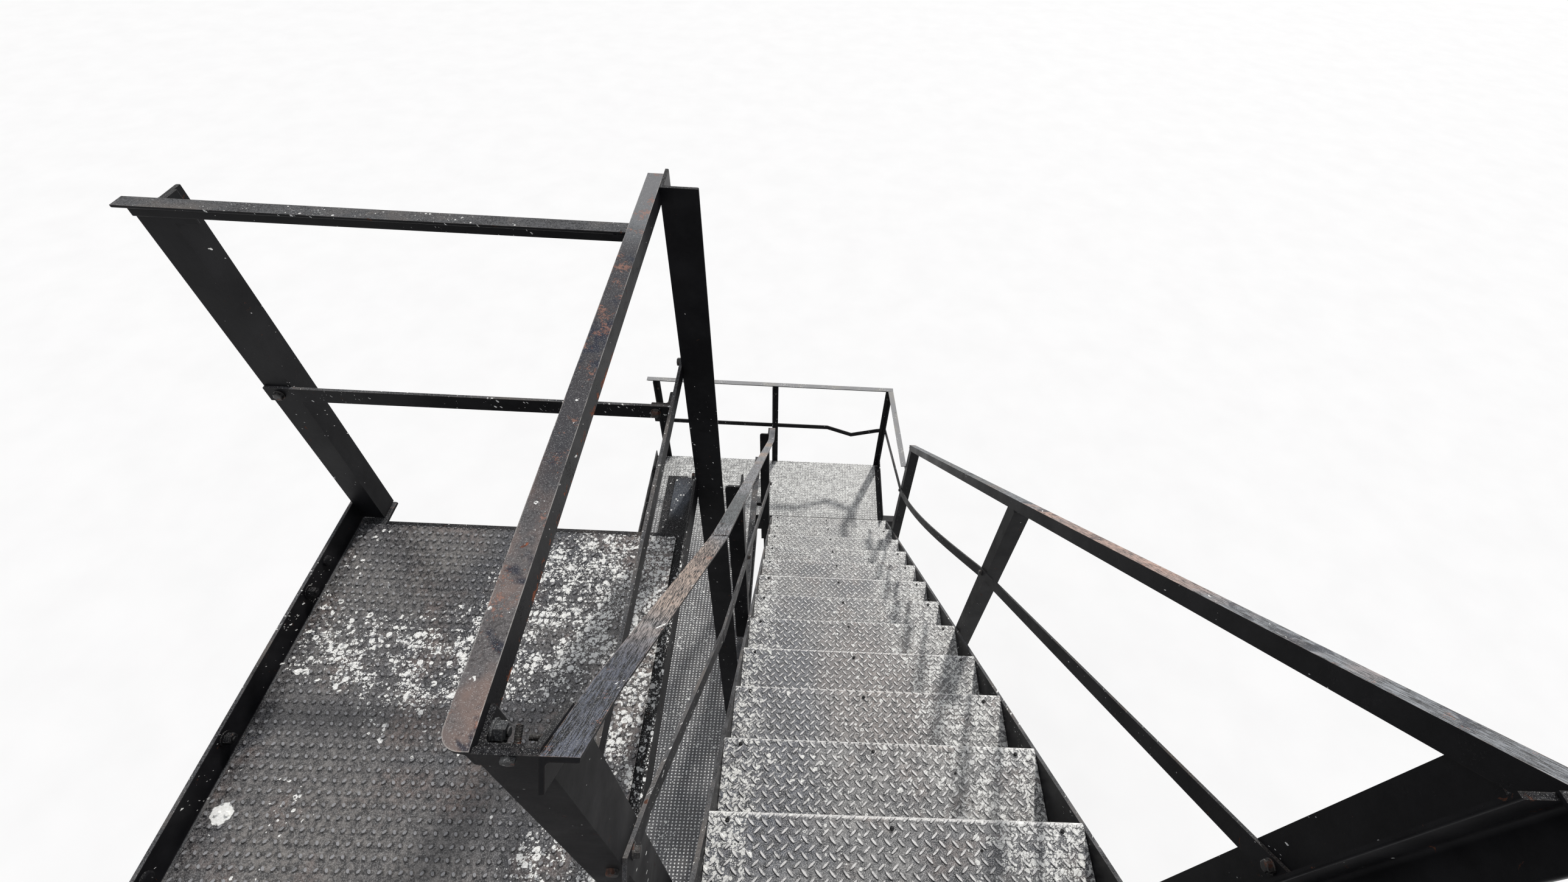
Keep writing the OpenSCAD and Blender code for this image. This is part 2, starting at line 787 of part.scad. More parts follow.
module left_mid_rail() {
    color("#1a1a1a") site() left_mid_rail_line(0, low_left_y + post_leg);
}

module right_mid_rail() {
    x = right_out - bar_t;
    color("#1a1a1a") site() {
        sloping_bar(x, header_y, x, mid_right_y + post_leg, 0);
        bowed_bar(x, mid_right_y + post_leg, low_right_y + post_leg, 0, mid_rail_bow);
    }
}

module lower_flight_mid_rails() {
    last_y = lower_post_ys[2] + post_leg;
    color("#1a1a1a") site() {
        left_mid_rail_line(lower_z, last_y);
        sloping_bar(right_out - bar_t, header_y, right_out - bar_t, last_y, lower_z);
    }
}

// Flat bar on edge along Y
module level_bar_y(x, y0, y1, z) {
    translate([x, y0, z - bar_d]) cube([bar_t, y1 - y0, bar_d]);
}

// Flat bar on edge along X
module level_bar_x(x0, x1, y, z) {
    translate([x0, y, z - bar_d]) cube([x1 - x0, bar_t, bar_d]);
}

// Top rail angle along Y, level leg on top, upright leg at x; turn sets the leg's side
module top_rail_y(x, y0, y1, z, turn, leg = rail_leg, drop = rail_drop) {
    along_y(y0, z, y1 - y0) translate([x, 0]) scale([turn, 1]) angle_outline(leg, drop, rail_t);
}

// Top rail angle along X, upright leg at y
module top_rail_x(x0, x1, y, z, side, leg = rail_leg, drop = rail_drop) {
    along_x(x0, y, z, x1 - x0) scale([side, 1]) angle_outline(leg, drop, rail_t);
}

// Post against the wall that carries the end of a guard
module guard_wall_post(y, z, h) {
    upright(wall_post_x + post_leg, y, z, z + h - rail_t, -1, 1) angle_outline(post_leg, post_leg, post_t);
}

module wall_posts() {
    color("#161616") site() {
        guard_wall_post(end_rail_y, 0, guard_h);
        guard_wall_post(head_end_y + bar_t, 0, guard_h);
        guard_wall_post(head_end_y + bar_t, lower_z, lower_guard_h);
    }
}

module end_rails() {
    color("#1d1d1d") site() {
        top_rail_x(wall_post_x, edge_x - rail_leg, end_rail_y, guard_h, 1);
        level_bar_x(wall_post_x, edge_x - bar_t, end_rail_y - bar_t, mid_rail_h);
    }
}

// Cut that rounds the outer top rail's near corner
module rail_corner_cut() {
    translate([edge_x - rail_leg, header_y, guard_h - rail_drop - 1])
        linear_extrude(rail_drop + 2) difference() {
            translate([-1, -1]) square(rail_end_r + 1);
            translate([rail_end_r, rail_end_r]) circle(r = rail_end_r);
        }
}

module outer_top_rail() {
    color("#5a4334") site() difference() {
        top_rail_y(edge_x, header_y, column_y + top_rail_over, guard_h, -1);
        rail_corner_cut();
    }
}

module outer_mid_rail() {
    color("#1d1d1d") site()
        level_bar_y(edge_x - bar_t, header_y + column_t, column_y + top_rail_over, mid_rail_h);
}

// Guard round the platform at the head of a flight, on the side away from the wall and across its end
module platform_guard(z, h, mid) {
    x = right_out - frame_t;
    top_rail_y(x + rail_t, head_end_y + rail_leg - rail_t, header_y, z + h, -1);
    top_rail_x(wall_post_x, right_out + column_leg, head_end_y, z + h, -1);
    level_bar_y(x, head_end_y + bar_t / 2, header_y, z + mid);
    level_bar_x(wall_post_x, right_out + column_leg, head_end_y, z + mid);
    upright(x, header_y, z + plate_z, z + h - rail_t, -1, -1) angle_outline(post_leg, post_leg, post_t);
}

module head_guard() {
    color("#1d1d1d") site() platform_guard(0, guard_h, mid_rail_h);
}

module lower_head_guard() {
    color("#1d1d1d") site() platform_guard(lower_z, lower_guard_h, lower_mid_rail_h);
}

module landing_guard_posts() {
    top = lower_z + lower_guard_h - rail_t;
    color("#161616") site() {
        for (x = landing_post_xs)
            upright(x, foot_end_y, lower_z, top, 1, -1) angle_outline(thin_post_leg, thin_post_leg, rail_t);
        upright(landing_side_x, foot_end_y, lower_z, top, -1, -1)
            angle_outline(thin_post_leg, thin_post_leg, rail_t);
    }
}

module landing_top_rails() {
    top = lower_z + lower_guard_h;
    post_back = low_right_y + post_leg;
    last_x = landing_side_x + rail_t;
    color("#a5a49e") site() {
        top_rail_x(landing_rail_x, last_x, foot_end_y + rail_t, top, 1, handrail_leg, handrail_leg);
        between([right_out + rail_t, post_back, top], [last_x, foot_end_y + rail_t - handrail_leg, top])
            scale([-1, 1]) angle_outline(handrail_leg, handrail_leg, rail_t);
    }
}

// Flat bar on edge along X, bent down round one place
module dipped_bar(x0, x1, y, z, at, dip, reach) {
    top = [[x0, 0], [at - reach, 0], [at, -dip], [at + reach, -side_dip], [x1, 0]];
    under = [for (i = [len(top) - 1 : -1 : 0]) [top[i].x, top[i].y - bar_d]];
    translate([0, y + bar_t, z]) rotate([90, 0, 0]) linear_extrude(bar_t) polygon(concat(top, under));
}

module landing_mid_rails() {
    top = lower_z + lower_mid_rail_h;
    post_back = low_right_y + post_leg;
    dip_x = landing_w - far_dip_in;
    color("#1d1d1d") site() {
        dipped_bar(landing_rail_x, landing_side_x, foot_end_y, top, dip_x, far_rail_dip, far_dip_reach);
        between([right_out, post_back, top + side_rail_rise], [landing_side_x, foot_end_y, top])
            square([bar_t, bar_d]);
    }
}

module lower_balcony_rails() {
    top = lower_z + lower_guard_h;
    mid = lower_z + lower_mid_rail_h;
    column_back = column_y + column_leg;
    color("#1d1d1d") site() {
        top_rail_y(edge_x, header_y + column_leg, column_y, top, 1, low_rail_leg, handrail_leg);
        top_rail_y(edge_x, column_back, low_left_y + post_leg, top, 1, low_rail_leg, handrail_leg);
        level_bar_y(edge_x, header_y + column_leg, column_y, mid);
        level_bar_y(edge_x, column_back, low_left_y + post_leg, mid);
        translate([edge_x + bar_t, low_left_y, mid - bar_d]) cube([low_rail_leg - bar_t, post_leg, bar_d]);
    }
}

// Short angle that joins a rail to a post
module clip(x, y, z, sx, sy) {
    upright(x, y, z - rail_clip_leg, z, sx, sy) angle_outline(rail_clip_leg, rail_clip_leg, cleat_t);
}

module rail_clips() {
    color("#1a1a1a") site() {
        clip(edge_x - bar_t, end_rail_y, mid_rail_h, -1, 1);
        clip(edge_x, header_y + column_t, guard_h - rail_t - bar_t, 1, 1);
        clip(edge_x, header_y + column_t, mid_rail_h, 1, 1);
        clip(wall_post_x + post_leg, end_rail_y, guard_h - rail_t, 1, 1);
        translate([edge_x - 2 * rail_t - rail_clip_leg, end_rail_y - rail_leg, guard_h - rail_t - cleat_t])
            cube([rail_clip_leg, rail_leg - 2 * rail_t, cleat_t]);
    }
}

column_feet();
far_column();
near_left_column();
near_right_column();
end_columns();
landing_columns();
lower_ledger();
lower_edge_angles();
lower_beams();
landing_beams();
lower_bearers();
lower_floor_plates();
lower_stringers();
lower_treads();
lower_tread_cleats();
lower_flight_posts();
lower_handrails();
lower_flight_mid_rails();
landing_guard_posts();
landing_top_rails();
landing_mid_rails();
lower_balcony_rails();
lower_head_guard();
upper_ledger();
upper_edge_angles();
upper_beams();
beam_clips();
upper_bearers();
upper_floor_plates();
left_stringer();
right_stringer();
upper_treads();
upper_tread_cleats();
left_flight_posts();
right_flight_posts();
left_handrail();
right_handrail();
left_mid_rail();
right_mid_rail();
wall_posts();
end_rails();
outer_top_rail();
outer_mid_rail();
head_guard();
rail_clips();
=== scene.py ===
import math
import random

import bpy
from mathutils import Matrix, Vector


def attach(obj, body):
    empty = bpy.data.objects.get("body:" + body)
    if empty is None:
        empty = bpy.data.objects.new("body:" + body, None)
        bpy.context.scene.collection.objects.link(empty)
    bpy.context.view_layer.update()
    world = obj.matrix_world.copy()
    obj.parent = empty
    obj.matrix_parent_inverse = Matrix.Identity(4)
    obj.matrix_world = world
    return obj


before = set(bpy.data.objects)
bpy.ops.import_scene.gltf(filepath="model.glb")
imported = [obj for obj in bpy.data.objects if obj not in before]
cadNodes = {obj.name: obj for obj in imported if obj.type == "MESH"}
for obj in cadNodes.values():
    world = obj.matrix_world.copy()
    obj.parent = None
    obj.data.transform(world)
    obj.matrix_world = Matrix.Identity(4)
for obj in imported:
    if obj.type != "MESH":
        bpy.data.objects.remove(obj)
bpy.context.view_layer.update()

random.seed(11)

# The stair's layout in metres: x goes out from its back, y along it from the upper balcony's far
# end, z up from the upper floor. backX, farY and upperZ put that corner in the frame
stair = {
    "backX": -0.80675, "farY": -0.14975, "upperZ": 5.6896, "lowerZ": -2.4384,
    "riser": 0.2032, "run": 0.2203, "headY": -0.770, "upperTreads": 12, "lowerTreads": 15,
    "treadDepth": 0.246, "leftIn": 0.867, "flightWidth": 0.782, "stringer": 0.0095,
    "handrail": 0.794, "upperMid": 0.414, "lowerMid": 0.386,
}
leftOut = stair["leftIn"] - stair["stringer"]
rightIn = stair["leftIn"] + stair["flightWidth"]
rightOut = rightIn + stair["stringer"]
footZ = -stair["upperZ"]
flights = ((0.0, stair["upperTreads"]), (stair["lowerZ"], stair["lowerTreads"]))


def at(x, y, z):
    return Vector((x + stair["backX"], y + stair["farY"], z + stair["upperZ"]))


def nosing(y, headZ=0.0):                   # height of the line that joins the nosings
    return headZ - (y - stair["headY"]) * stair["riser"] / stair["run"]


# small helpers for shader nodes
def put(tree, kind, sockets=None, **settings):
    made = tree.nodes.new("ShaderNode" + kind)
    for key, value in settings.items():
        setattr(made, key, value)
    for key, value in (sockets or {}).items():
        if isinstance(value, bpy.types.NodeSocket):
            tree.links.new(value, made.inputs[key])
        else:
            made.inputs[key].default_value = value
    return made


def maths(tree, operation, first, second=0.0, clamp=False):
    return put(tree, "Math", {0: first, 1: second}, operation=operation, use_clamp=clamp).outputs[0]


def times(tree, first, second, clamp=False):
    return maths(tree, "MULTIPLY", first, second, clamp)


def plus(tree, first, second, clamp=False):
    return maths(tree, "ADD", first, second, clamp)


def minus(tree, first, second):
    return maths(tree, "SUBTRACT", first, second)


def vectorMaths(tree, operation, first, second=(0, 0, 0)):
    made = put(tree, "VectorMath", {0: first, 1: second}, operation=operation)
    return made.outputs["Value" if operation in ("LENGTH", "DOT_PRODUCT") else "Vector"]


def blendColours(tree, amount, low, high):  # a Mix node's sockets 6, 7 and 2 are its colours
    made = put(tree, "Mix", data_type="RGBA", clamp_factor=True)
    for index, value in ((0, amount), (6, low), (7, high)):
        if isinstance(value, bpy.types.NodeSocket):
            tree.links.new(value, made.inputs[index])
        else:
            made.inputs[index].default_value = value if index == 0 else (*value, 1)
    return made.outputs[2]


def remap(tree, value, fromLow, fromHigh, toLow=0.0, toHigh=1.0, smooth=False):
    made = put(tree, "MapRange", {0: value, 1: fromLow, 2: fromHigh, 3: toLow, 4: toHigh})
    made.interpolation_type = "SMOOTHSTEP" if smooth else "LINEAR"
    return made.outputs[0]


def noise(tree, where, scale, detail=3.0, rough=0.55, distortion=0.0):
    return put(tree, "TexNoise", {"Vector": where, "Scale": scale, "Detail": detail,
                                  "Roughness": rough, "Distortion": distortion}).outputs["Fac"]


def warped(tree, where, scale, amount):
    shift = put(tree, "TexNoise", {"Vector": where, "Scale": scale, "Detail": 2.0}).outputs["Color"]
    shift = vectorMaths(tree, "SUBTRACT", shift, (0.5, 0.5, 0.5))
    return vectorMaths(tree, "ADD", where, vectorMaths(tree, "MULTIPLY", shift, (amount,) * 3))


def startMaterial(name):
    material = bpy.data.materials.new(name)
    material.use_nodes = True
    tree = material.node_tree
    return material, tree, tree.nodes["Principled BSDF"]


def objectPlace(tree):
    return put(tree, "TexCoord").outputs["Object"]


def upwardness(tree):                       # 1 where a face looks straight up, -1 straight down
    normal = put(tree, "NewGeometry").outputs["Normal"]
    return put(tree, "SeparateXYZ", {0: normal}).outputs[2]


regionFade = (1.15, 0.55)                   # where a region begins and where it is full
sharpEdge = {"samples": 4, "turn": (0.985, 0.90)}
bumpDepth = 0.0008


def region(tree, where, centre, size):
    away = vectorMaths(tree, "SUBTRACT", where, tuple(centre))
    away = vectorMaths(tree, "DIVIDE", away, tuple(size))
    return remap(tree, vectorMaths(tree, "LENGTH", away), *regionFade, smooth=True)


def addTints(tree, colour, where, look):    # each tint has a centre, size, colour and amount
    warpedPlace = warped(tree, where, *look["tintWarp"])
    for centre, size, shade, amount in look["tints"]:
        near = region(tree, warpedPlace, at(*centre), size)
        colour = blendColours(tree, times(tree, near, amount), colour, shade)
    return colour


def edgeMask(tree, radius):
    rounded = put(tree, "Bevel", {"Radius": radius}, samples=sharpEdge["samples"]).outputs[0]
    flat = put(tree, "NewGeometry").outputs["Normal"]
    return remap(tree, vectorMaths(tree, "DOT_PRODUCT", rounded, flat), *sharpEdge["turn"])


def roughness(tree, pattern, look):
    return remap(tree, pattern, *look["roughBand"], look["rough"] - look["smoother"],
                 look["rough"] + look["rougher"])


def finishSurface(tree, shader, colour, rough, height, strength):
    tree.links.new(colour, shader.inputs["Base Color"])
    tree.links.new(rough, shader.inputs["Roughness"])
    bump = put(tree, "Bump", {"Height": height, "Strength": strength, "Distance": bumpDepth})
    tree.links.new(bump.outputs[0], shader.inputs["Normal"])


# lichen: pale crusts in three sizes, some with a hollow middle, on a flat pattern that leans with
# height so that upright faces carry it too
lichen = {
    "rimScale": 280.0, "rimWarp": 0.0028, "leanAcross": 0.62, "leanBack": 0.78,
    "spread": 0.9, "smallest": 0.35, "softRim": 0.07,
    "hollowShare": 0.25, "hollowDepth": 0.85, "hollowOuter": 0.5, "hollowInner": 0.35,
    "clumpScale": 24.0, "clumpBand": (0.42, 0.56, 0.12, 1.35),
    "grainScale": 500.0, "grainBand": (0.36, 0.42, 0.3, 1.0), "crustBand": (0.1, 0.6),
    "toneScale": 300.0, "toneBand": (0.35, 0.65),
    "dull": (0.80, 0.80, 0.765), "bright": (0.98, 0.98, 0.965),
}


def crust(tree, where, density, scale, biggest):
    cell = put(tree, "TexVoronoi", {"Vector": where, "Scale": scale,
                                    "Randomness": lichen["spread"]}, voronoi_dimensions="2D")
    pick = put(tree, "SeparateColor", {0: cell.outputs["Color"]}).outputs
    distance = cell.outputs["Distance"]
    radius = remap(tree, pick[0], 0.0, 1.0, biggest * lichen["smallest"], biggest)
    radius = times(tree, radius, maths(tree, "LESS_THAN", pick[1], density))
    grown = remap(tree, distance, radius, minus(tree, radius, lichen["softRim"]))
    hollow = maths(tree, "GREATER_THAN", pick[2], 1.0 - lichen["hollowShare"])
    hollow = times(tree, hollow, lichen["hollowDepth"])
    core = remap(tree, distance, times(tree, radius, lichen["hollowOuter"]),
                 times(tree, radius, lichen["hollowInner"]))
    return times(tree, grown, minus(tree, 1.0, times(tree, core, hollow)), clamp=True)


def lichenLayers(tree, where, density, layers):     # each layer has a scale, size and share
    axes = put(tree, "SeparateXYZ",
               {0: warped(tree, where, lichen["rimScale"], lichen["rimWarp"])}).outputs
    across = plus(tree, axes[0], times(tree, axes[2], lichen["leanAcross"]))
    back = plus(tree, axes[1], times(tree, axes[2], lichen["leanBack"]))
    flat = put(tree, "CombineXYZ", {0: across, 1: back}).outputs[0]
    clump = noise(tree, where, lichen["clumpScale"], rough=0.6)
    density = times(tree, density, remap(tree, clump, *lichen["clumpBand"]), clamp=True)
    found = None
    for scale, biggest, share in layers:
        layer = crust(tree, flat, times(tree, density, share), scale, biggest)
        found = layer if found is None else maths(tree, "MAXIMUM", found, layer)
    grain = noise(tree, where, lichen["grainScale"], detail=2.0, rough=0.7)
    grain = remap(tree, grain, *lichen["grainBand"])
    return times(tree, remap(tree, found, *lichen["crustBand"]), grain, clamp=True)


def lichenColour(tree, where):
    tone = noise(tree, where, lichen["toneScale"], detail=2.0)
    tone = remap(tree, tone, *lichen["toneBand"])
    return blendColours(tree, tone, lichen["dull"], lichen["bright"])


# steel plate: patches from dark to pale, stains, dirt, bright grit, worn lugs and lichen. A band
# holds where a pattern starts and where it is full, then the amounts at both ends if not 0 and 1
treadLook = {
    "patchScale": 6.0, "patchBand": (0.36, 0.64),
    "dark": (0.070, 0.076, 0.092), "pale": (0.32, 0.315, 0.305),
    "stain": (0.23, 0.175, 0.15), "stainAmount": 0.5, "stainFineness": 2.3,
    "stainBand": (0.50, 0.66), "mottleScale": 90.0, "gritScale": 520.0,
    # the dark colour below serves the dirt mottle and also the painted shade under each tread's
    # nosing
    "dirtAndShade": (0.012, 0.014, 0.019), "dirtAmount": 0.95, "dirtBand": (0.38, 0.60),
    # the bright colour below serves the grit specks and also the painted highlights on tread
    # nosings and rims
    "gritAndHighlight": (0.85, 0.84, 0.82), "gritAmount": 0.6, "gritBand": (0.50, 0.62), "grain": 0.35,
    "topWear": 0.0, "topBand": (0.80, 0.97), "wearBand": (0.35, 0.55), "leastWear": 0.35,
    "wearColour": (0.80, 0.79, 0.78), "rough": 0.42, "metal": 0.1, "rimLight": 0.55,
    "lichenLow": -0.10, "lichenHigh": 0.20, "lichenScale": 5.0, "lichenBand": (0.35, 0.68),
    "lichenFacing": (-0.2, 0.5, 0.1, 1.0),
    "lichenSizes": [(70.0, 0.52, 0.62), (125.0, 0.52, 0.66), (270.0, 0.46, 0.66)],
    "roughBand": (0.3, 0.7), "smoother": 0.12, "rougher": 0.14, "lichenRough": 0.95,
    "lichenHeight": 0.4, "bump": 0.8, "spots": [], "spotWarp": (110.0, 0.012),
    "spotBand": (0.30, 0.45), "tintWarp": (12.0, 0.10),
    # the first tint is painted light: it makes the upper flight's lowest treads pale as if in sun
    # glare
    "tints": [((1.25, 1.75, -2.2), (0.60, 0.85, 1.2), (0.40, 0.40, 0.395), 0.55),
              ((0.95, -0.1, -0.6), (0.20, 1.0, 1.2), (0.075, 0.088, 0.12), 0.7),
              ((1.30, 0.0, -0.7), (0.22, 0.45, 0.9), (0.24, 0.195, 0.175), 0.5)],
    "regions": [((1.64, 0.2, -0.9), (0.24, 3.4, 9.0), 1.3),
                ((0.88, 0.0, -0.9), (0.085, 3.4, 9.0), 0.8),
                ((1.25, 1.55, -2.0), (0.60, 0.6, 9.0), 0.25)],
}
upperFloorLook = dict(
    treadLook, patchScale=4.0, dark=(0.036, 0.039, 0.050), pale=(0.185, 0.172, 0.162),
    stain=(0.19, 0.135, 0.115), stainAmount=0.6, dirtAndShade=(0.010, 0.010, 0.012), dirtAmount=0.85,
    dirtBand=(0.42, 0.60), gritAndHighlight=(0.60, 0.59, 0.58), gritAmount=0.35, grain=0.14,
    wearColour=(0.30, 0.30, 0.31), lichenLow=-0.15, lichenHigh=0.16, rough=0.26, rimLight=0.0,
    tints=[], spots=[((0.047, -0.632, 0), (0.021, 0.019, 0.05))],
    regions=[((0.36, -0.33, 0), (0.38, 0.11, 2.0), 0.75),
             ((0.64, -0.17, 0), (0.28, 0.20, 2.0), 1.3),
             ((0.70, -0.72, 0), (0.15, 0.12, 2.0), 1.4),
             ((0.71, -0.45, 0), (0.07, 0.3, 2.0), 0.6),
             ((0.9, -1.2, 0), (0.9, 0.35, 2.0), 0.3)])
# lit and shaded copies of one plate: the dark base is painted shade, as under the upper balcony,
# and the two tints paint the landing pale as painted sunlight
lowerFloorLook = dict(
    treadLook, patchScale=5.0, dark=(0.045, 0.047, 0.055), pale=(0.13, 0.13, 0.135),
    stain=(0.11, 0.095, 0.085), stainAmount=0.35, dirtAndShade=(0.014, 0.015, 0.02), dirtAmount=0.8,
    gritAndHighlight=(0.6, 0.6, 0.58), gritAmount=0.35, wearColour=(0.90, 0.90, 0.89), lichenLow=-0.02,
    lichenHigh=0.14, rimLight=0.0,
    tints=[((1.15, 2.15, -2.44), (0.75, 0.55, 2.0), (0.46, 0.46, 0.45), 0.85),
           ((0.45, 2.15, -2.44), (0.55, 0.60, 2.0), (0.40, 0.40, 0.39), 0.85)],
    regions=[((1.30, 2.30, -2.44), (0.55, 0.40, 2.0), 0.6),
             ((0.50, 2.2, -2.44), (0.5, 0.3, 2.0), 0.6),
             ((1.1, 2.0, -2.44), (0.45, 0.3, 2.0), 0.3)])
lugWear = {"topWear": 1.0}

# what treads alone get: painted shade where one goes under the next, and a painted highlight along
# its front and its rims.
# Bands are shares of the run from one nosing to the next
treadShadeAndHighlight = {
    "ragged": (0.3, 0.7, -0.04, 0.04), "nosingShadeBand": (0.03, 0.13, 0.85, 0.0),
    "frontHighlightBand": (0.965, 0.985), "frontHighlightBreak": (0.40, 0.52, 0.25, 0.85),
    "rimWidth": 0.0015, "rimBand": (0.36, 0.52),
}


def plateColour(tree, where, look, mottle, gritAndHighlight):
    broad = noise(tree, where, look["patchScale"], detail=5.0, rough=0.65, distortion=0.4)
    colour = blendColours(tree, remap(tree, broad, *look["patchBand"]), look["dark"], look["pale"])
    stain = noise(tree, where, look["patchScale"] * look["stainFineness"], detail=4.0,
                  rough=0.65)
    stain = times(tree, remap(tree, stain, *look["stainBand"]), look["stainAmount"])
    colour = blendColours(tree, stain, colour, look["stain"])
    colour = addTints(tree, colour, where, look)
    dirtAndShade = remap(tree, mottle, *look["dirtBand"], look["dirtAmount"], 0.0)
    colour = blendColours(tree, dirtAndShade, colour, look["dirtAndShade"])
    bright = remap(tree, gritAndHighlight, *look["gritBand"], 0.0, look["gritAmount"])
    return blendColours(tree, bright, colour, look["gritAndHighlight"])


def wearTops(tree, colour, look, mottle, upward):
    wear = remap(tree, mottle, *look["wearBand"], look["topWear"] * look["leastWear"],
                 look["topWear"])
    worn = times(tree, remap(tree, upward, *look["topBand"]), wear)
    return blendColours(tree, worn, colour, look["wearColour"])


def paintTreadShadeAndHighlight(tree, colour, where, look, mottle, gritAndHighlight):
    back = put(tree, "SeparateXYZ", {0: where}).outputs[1]
    steps = maths(tree, "DIVIDE", minus(tree, back, stair["headY"] + stair["farY"]), stair["run"])
    part = maths(tree, "FRACT", steps)
    ragged = plus(tree, part, remap(tree, mottle, *treadShadeAndHighlight["ragged"]))
    # painted shade: a dark band on each tread just past the nosing of the tread above
    nosingShade = remap(tree, ragged, *treadShadeAndHighlight["nosingShadeBand"])
    colour = blendColours(tree, nosingShade, colour, look["dirtAndShade"])
    # painted highlight: a pale line along each tread's nosing, broken up by the grit pattern
    front = times(tree, remap(tree, part, *treadShadeAndHighlight["frontHighlightBand"]),
                  remap(tree, gritAndHighlight, *treadShadeAndHighlight["frontHighlightBreak"]))
    colour = blendColours(tree, front, colour, look["gritAndHighlight"])
    # painted highlight along the tread's rims
    rim = times(tree, edgeMask(tree, treadShadeAndHighlight["rimWidth"]),
                remap(tree, mottle, *treadShadeAndHighlight["rimBand"]))
    return blendColours(tree, times(tree, rim, look["rimLight"]), colour, look["gritAndHighlight"])


def plateLichen(tree, where, look, upward):
    density = remap(tree, noise(tree, where, look["lichenScale"]), *look["lichenBand"],
                    look["lichenLow"], look["lichenHigh"])
    for centre, size, amount in look["regions"]:
        near = region(tree, where, at(*centre), size)
        density = plus(tree, density, times(tree, near, amount))
    density = times(tree, density, remap(tree, upward, *look["lichenFacing"]), clamp=True)
    return lichenLayers(tree, where, density, look["lichenSizes"])


def addSpots(tree, colour, where, look):    # single pale droppings
    for centre, size in look["spots"]:
        spot = region(tree, warped(tree, where, *look["spotWarp"]), at(*centre), size)
        spot = remap(tree, spot, *look["spotBand"])
        colour = blendColours(tree, spot, colour, lichenColour(tree, where))
    return colour


def makePlateMaterial(name, look):
    material, tree, shader = startMaterial(name)
    where, upward = objectPlace(tree), upwardness(tree)
    mottle = noise(tree, where, look["mottleScale"], detail=4.0, rough=0.7)
    gritAndHighlight = noise(tree, where, look["gritScale"], rough=0.75)
    colour = plateColour(tree, where, look, mottle, gritAndHighlight)
    colour = wearTops(tree, colour, look, mottle, upward)
    # treads only: painted shade under each nosing and painted highlights on nosings and rims
    if look["rimLight"]:
        colour = paintTreadShadeAndHighlight(tree, colour, where, look, mottle, gritAndHighlight)
    colour = addSpots(tree, colour, where, look)
    grown = plateLichen(tree, where, look, upward)
    colour = blendColours(tree, grown, colour, lichenColour(tree, where))
    rough = maths(tree, "MAXIMUM", roughness(tree, mottle, look),
                  times(tree, grown, look["lichenRough"]))
    height = plus(tree, times(tree, gritAndHighlight, look["grain"]),
                  times(tree, grown, look["lichenHeight"]))
    finishSurface(tree, shader, colour, rough, height, look["bump"])
    shader.inputs["Metallic"].default_value = look["metal"]
    return material


# black paint: faded, worn on faces that look up, with dust, rust flakes, primer and lichen. lie
# turns the grain onto a sloping bar and grain stretches it, and rusty holds rustier stretches
plainPaint = {
    "lie": (0, 0, 0), "grain": (1, 1, 1), "patchScale": 8.0, "fineScale": 330.0,
    "fineShare": 0.5, "gloss": 0.10, "rough": 0.42, "topBand": (0.45, 0.72), "topSoft": 0.03,
    "roughBand": (0.3, 0.7), "smoother": 0.08, "rougher": 0.12, "bareRough": 0.25,
    "pitDepth": 0.5, "fineHeight": 0.25, "lichenHeight": 0.9, "bump": 0.6,
    "paint": (0.0045, 0.0045, 0.0055), "faded": (0.011, 0.011, 0.0125), "fadeScale": 14.0,
    "fadeBand": (0.38, 0.66), "topWear": 0.75, "wearFrom": 0.47, "wearSoft": 0.10,
    "wornGrey": (0.045, 0.046, 0.050), "wornBrown": (0.075, 0.062, 0.054),
    "brownFrom": 0.50, "brownSoft": 0.14, "tints": [], "tintWarp": (25.0, 0.03),
    "blot": (0.012, 0.013, 0.018), "blotScale": 18.0, "blotAmount": 0.0, "blotBand": (0.57, 0.62),
    "dust": (0.62, 0.62, 0.61), "dustScale": 950.0, "dustAmount": 0.35, "dustBand": (0.58, 0.66),
    "flakeScale": 55.0, "flakeFrom": 0.67, "flakeSoft": 0.03, "flakeAmount": 0.9, "rusty": [],
    "rustDark": (0.022, 0.011, 0.008), "rustBright": (0.13, 0.052, 0.030),
    "rustBand": (0.35, 0.65), "speckScale": 260.0, "speckShare": 0.45,
    "primer": (0.42, 0.21, 0.15), "primerScale": 30.0, "primerFrom": 0.64, "primerSoft": 0.03,
    "primerAmount": 0.6, "edge": (0.11, 0.10, 0.09), "edgeAmount": 0.35, "edgeWidth": 0.002,
    "edgeScale": 45.0, "edgeBand": (0.42, 0.56, 0.15, 1.0), "edgeBelow": 0.06,
    "lichen": 0.05, "lichenScale": 4.0, "lichenBand": (0.4, 0.72),
    "lichenFacing": (-0.3, 0.6, 0.2, 1.0), "regionFacing": (0.3, 0.7), "regions": [],
    "lichenSizes": [(75.0, 0.48, 0.0), (170.0, 0.42, 0.7), (460.0, 0.36, 0.6)],
}
railPaint = dict(
    plainPaint, patchScale=7.0, topWear=0.97, wearFrom=0.26, wearSoft=0.20, brownFrom=0.40,
    wornGrey=(0.15, 0.14, 0.14), wornBrown=(0.27, 0.19, 0.16), primerFrom=0.57,
    primerAmount=0.5, edgeAmount=0.8, edge=(0.55, 0.53, 0.50), flakeFrom=0.70,
    rustBright=(0.34, 0.11, 0.055), lichen=0.03, blot=(0.030, 0.034, 0.050), blotAmount=0.85,
    rusty=[((0.774, -0.50, 0.757), (0.012, 0.36, 0.018), 0.14),
           ((0.774, -0.10, 0.757), (0.012, 0.30, 0.014), 0.08)],
    tints=[((0.762, -0.26, 0.79), (0.05, 0.32, 0.05), (0.045, 0.049, 0.057), 0.93),
           ((0.762, 0.10, 0.79), (0.05, 0.16, 0.05), (0.19, 0.20, 0.21), 0.9)])
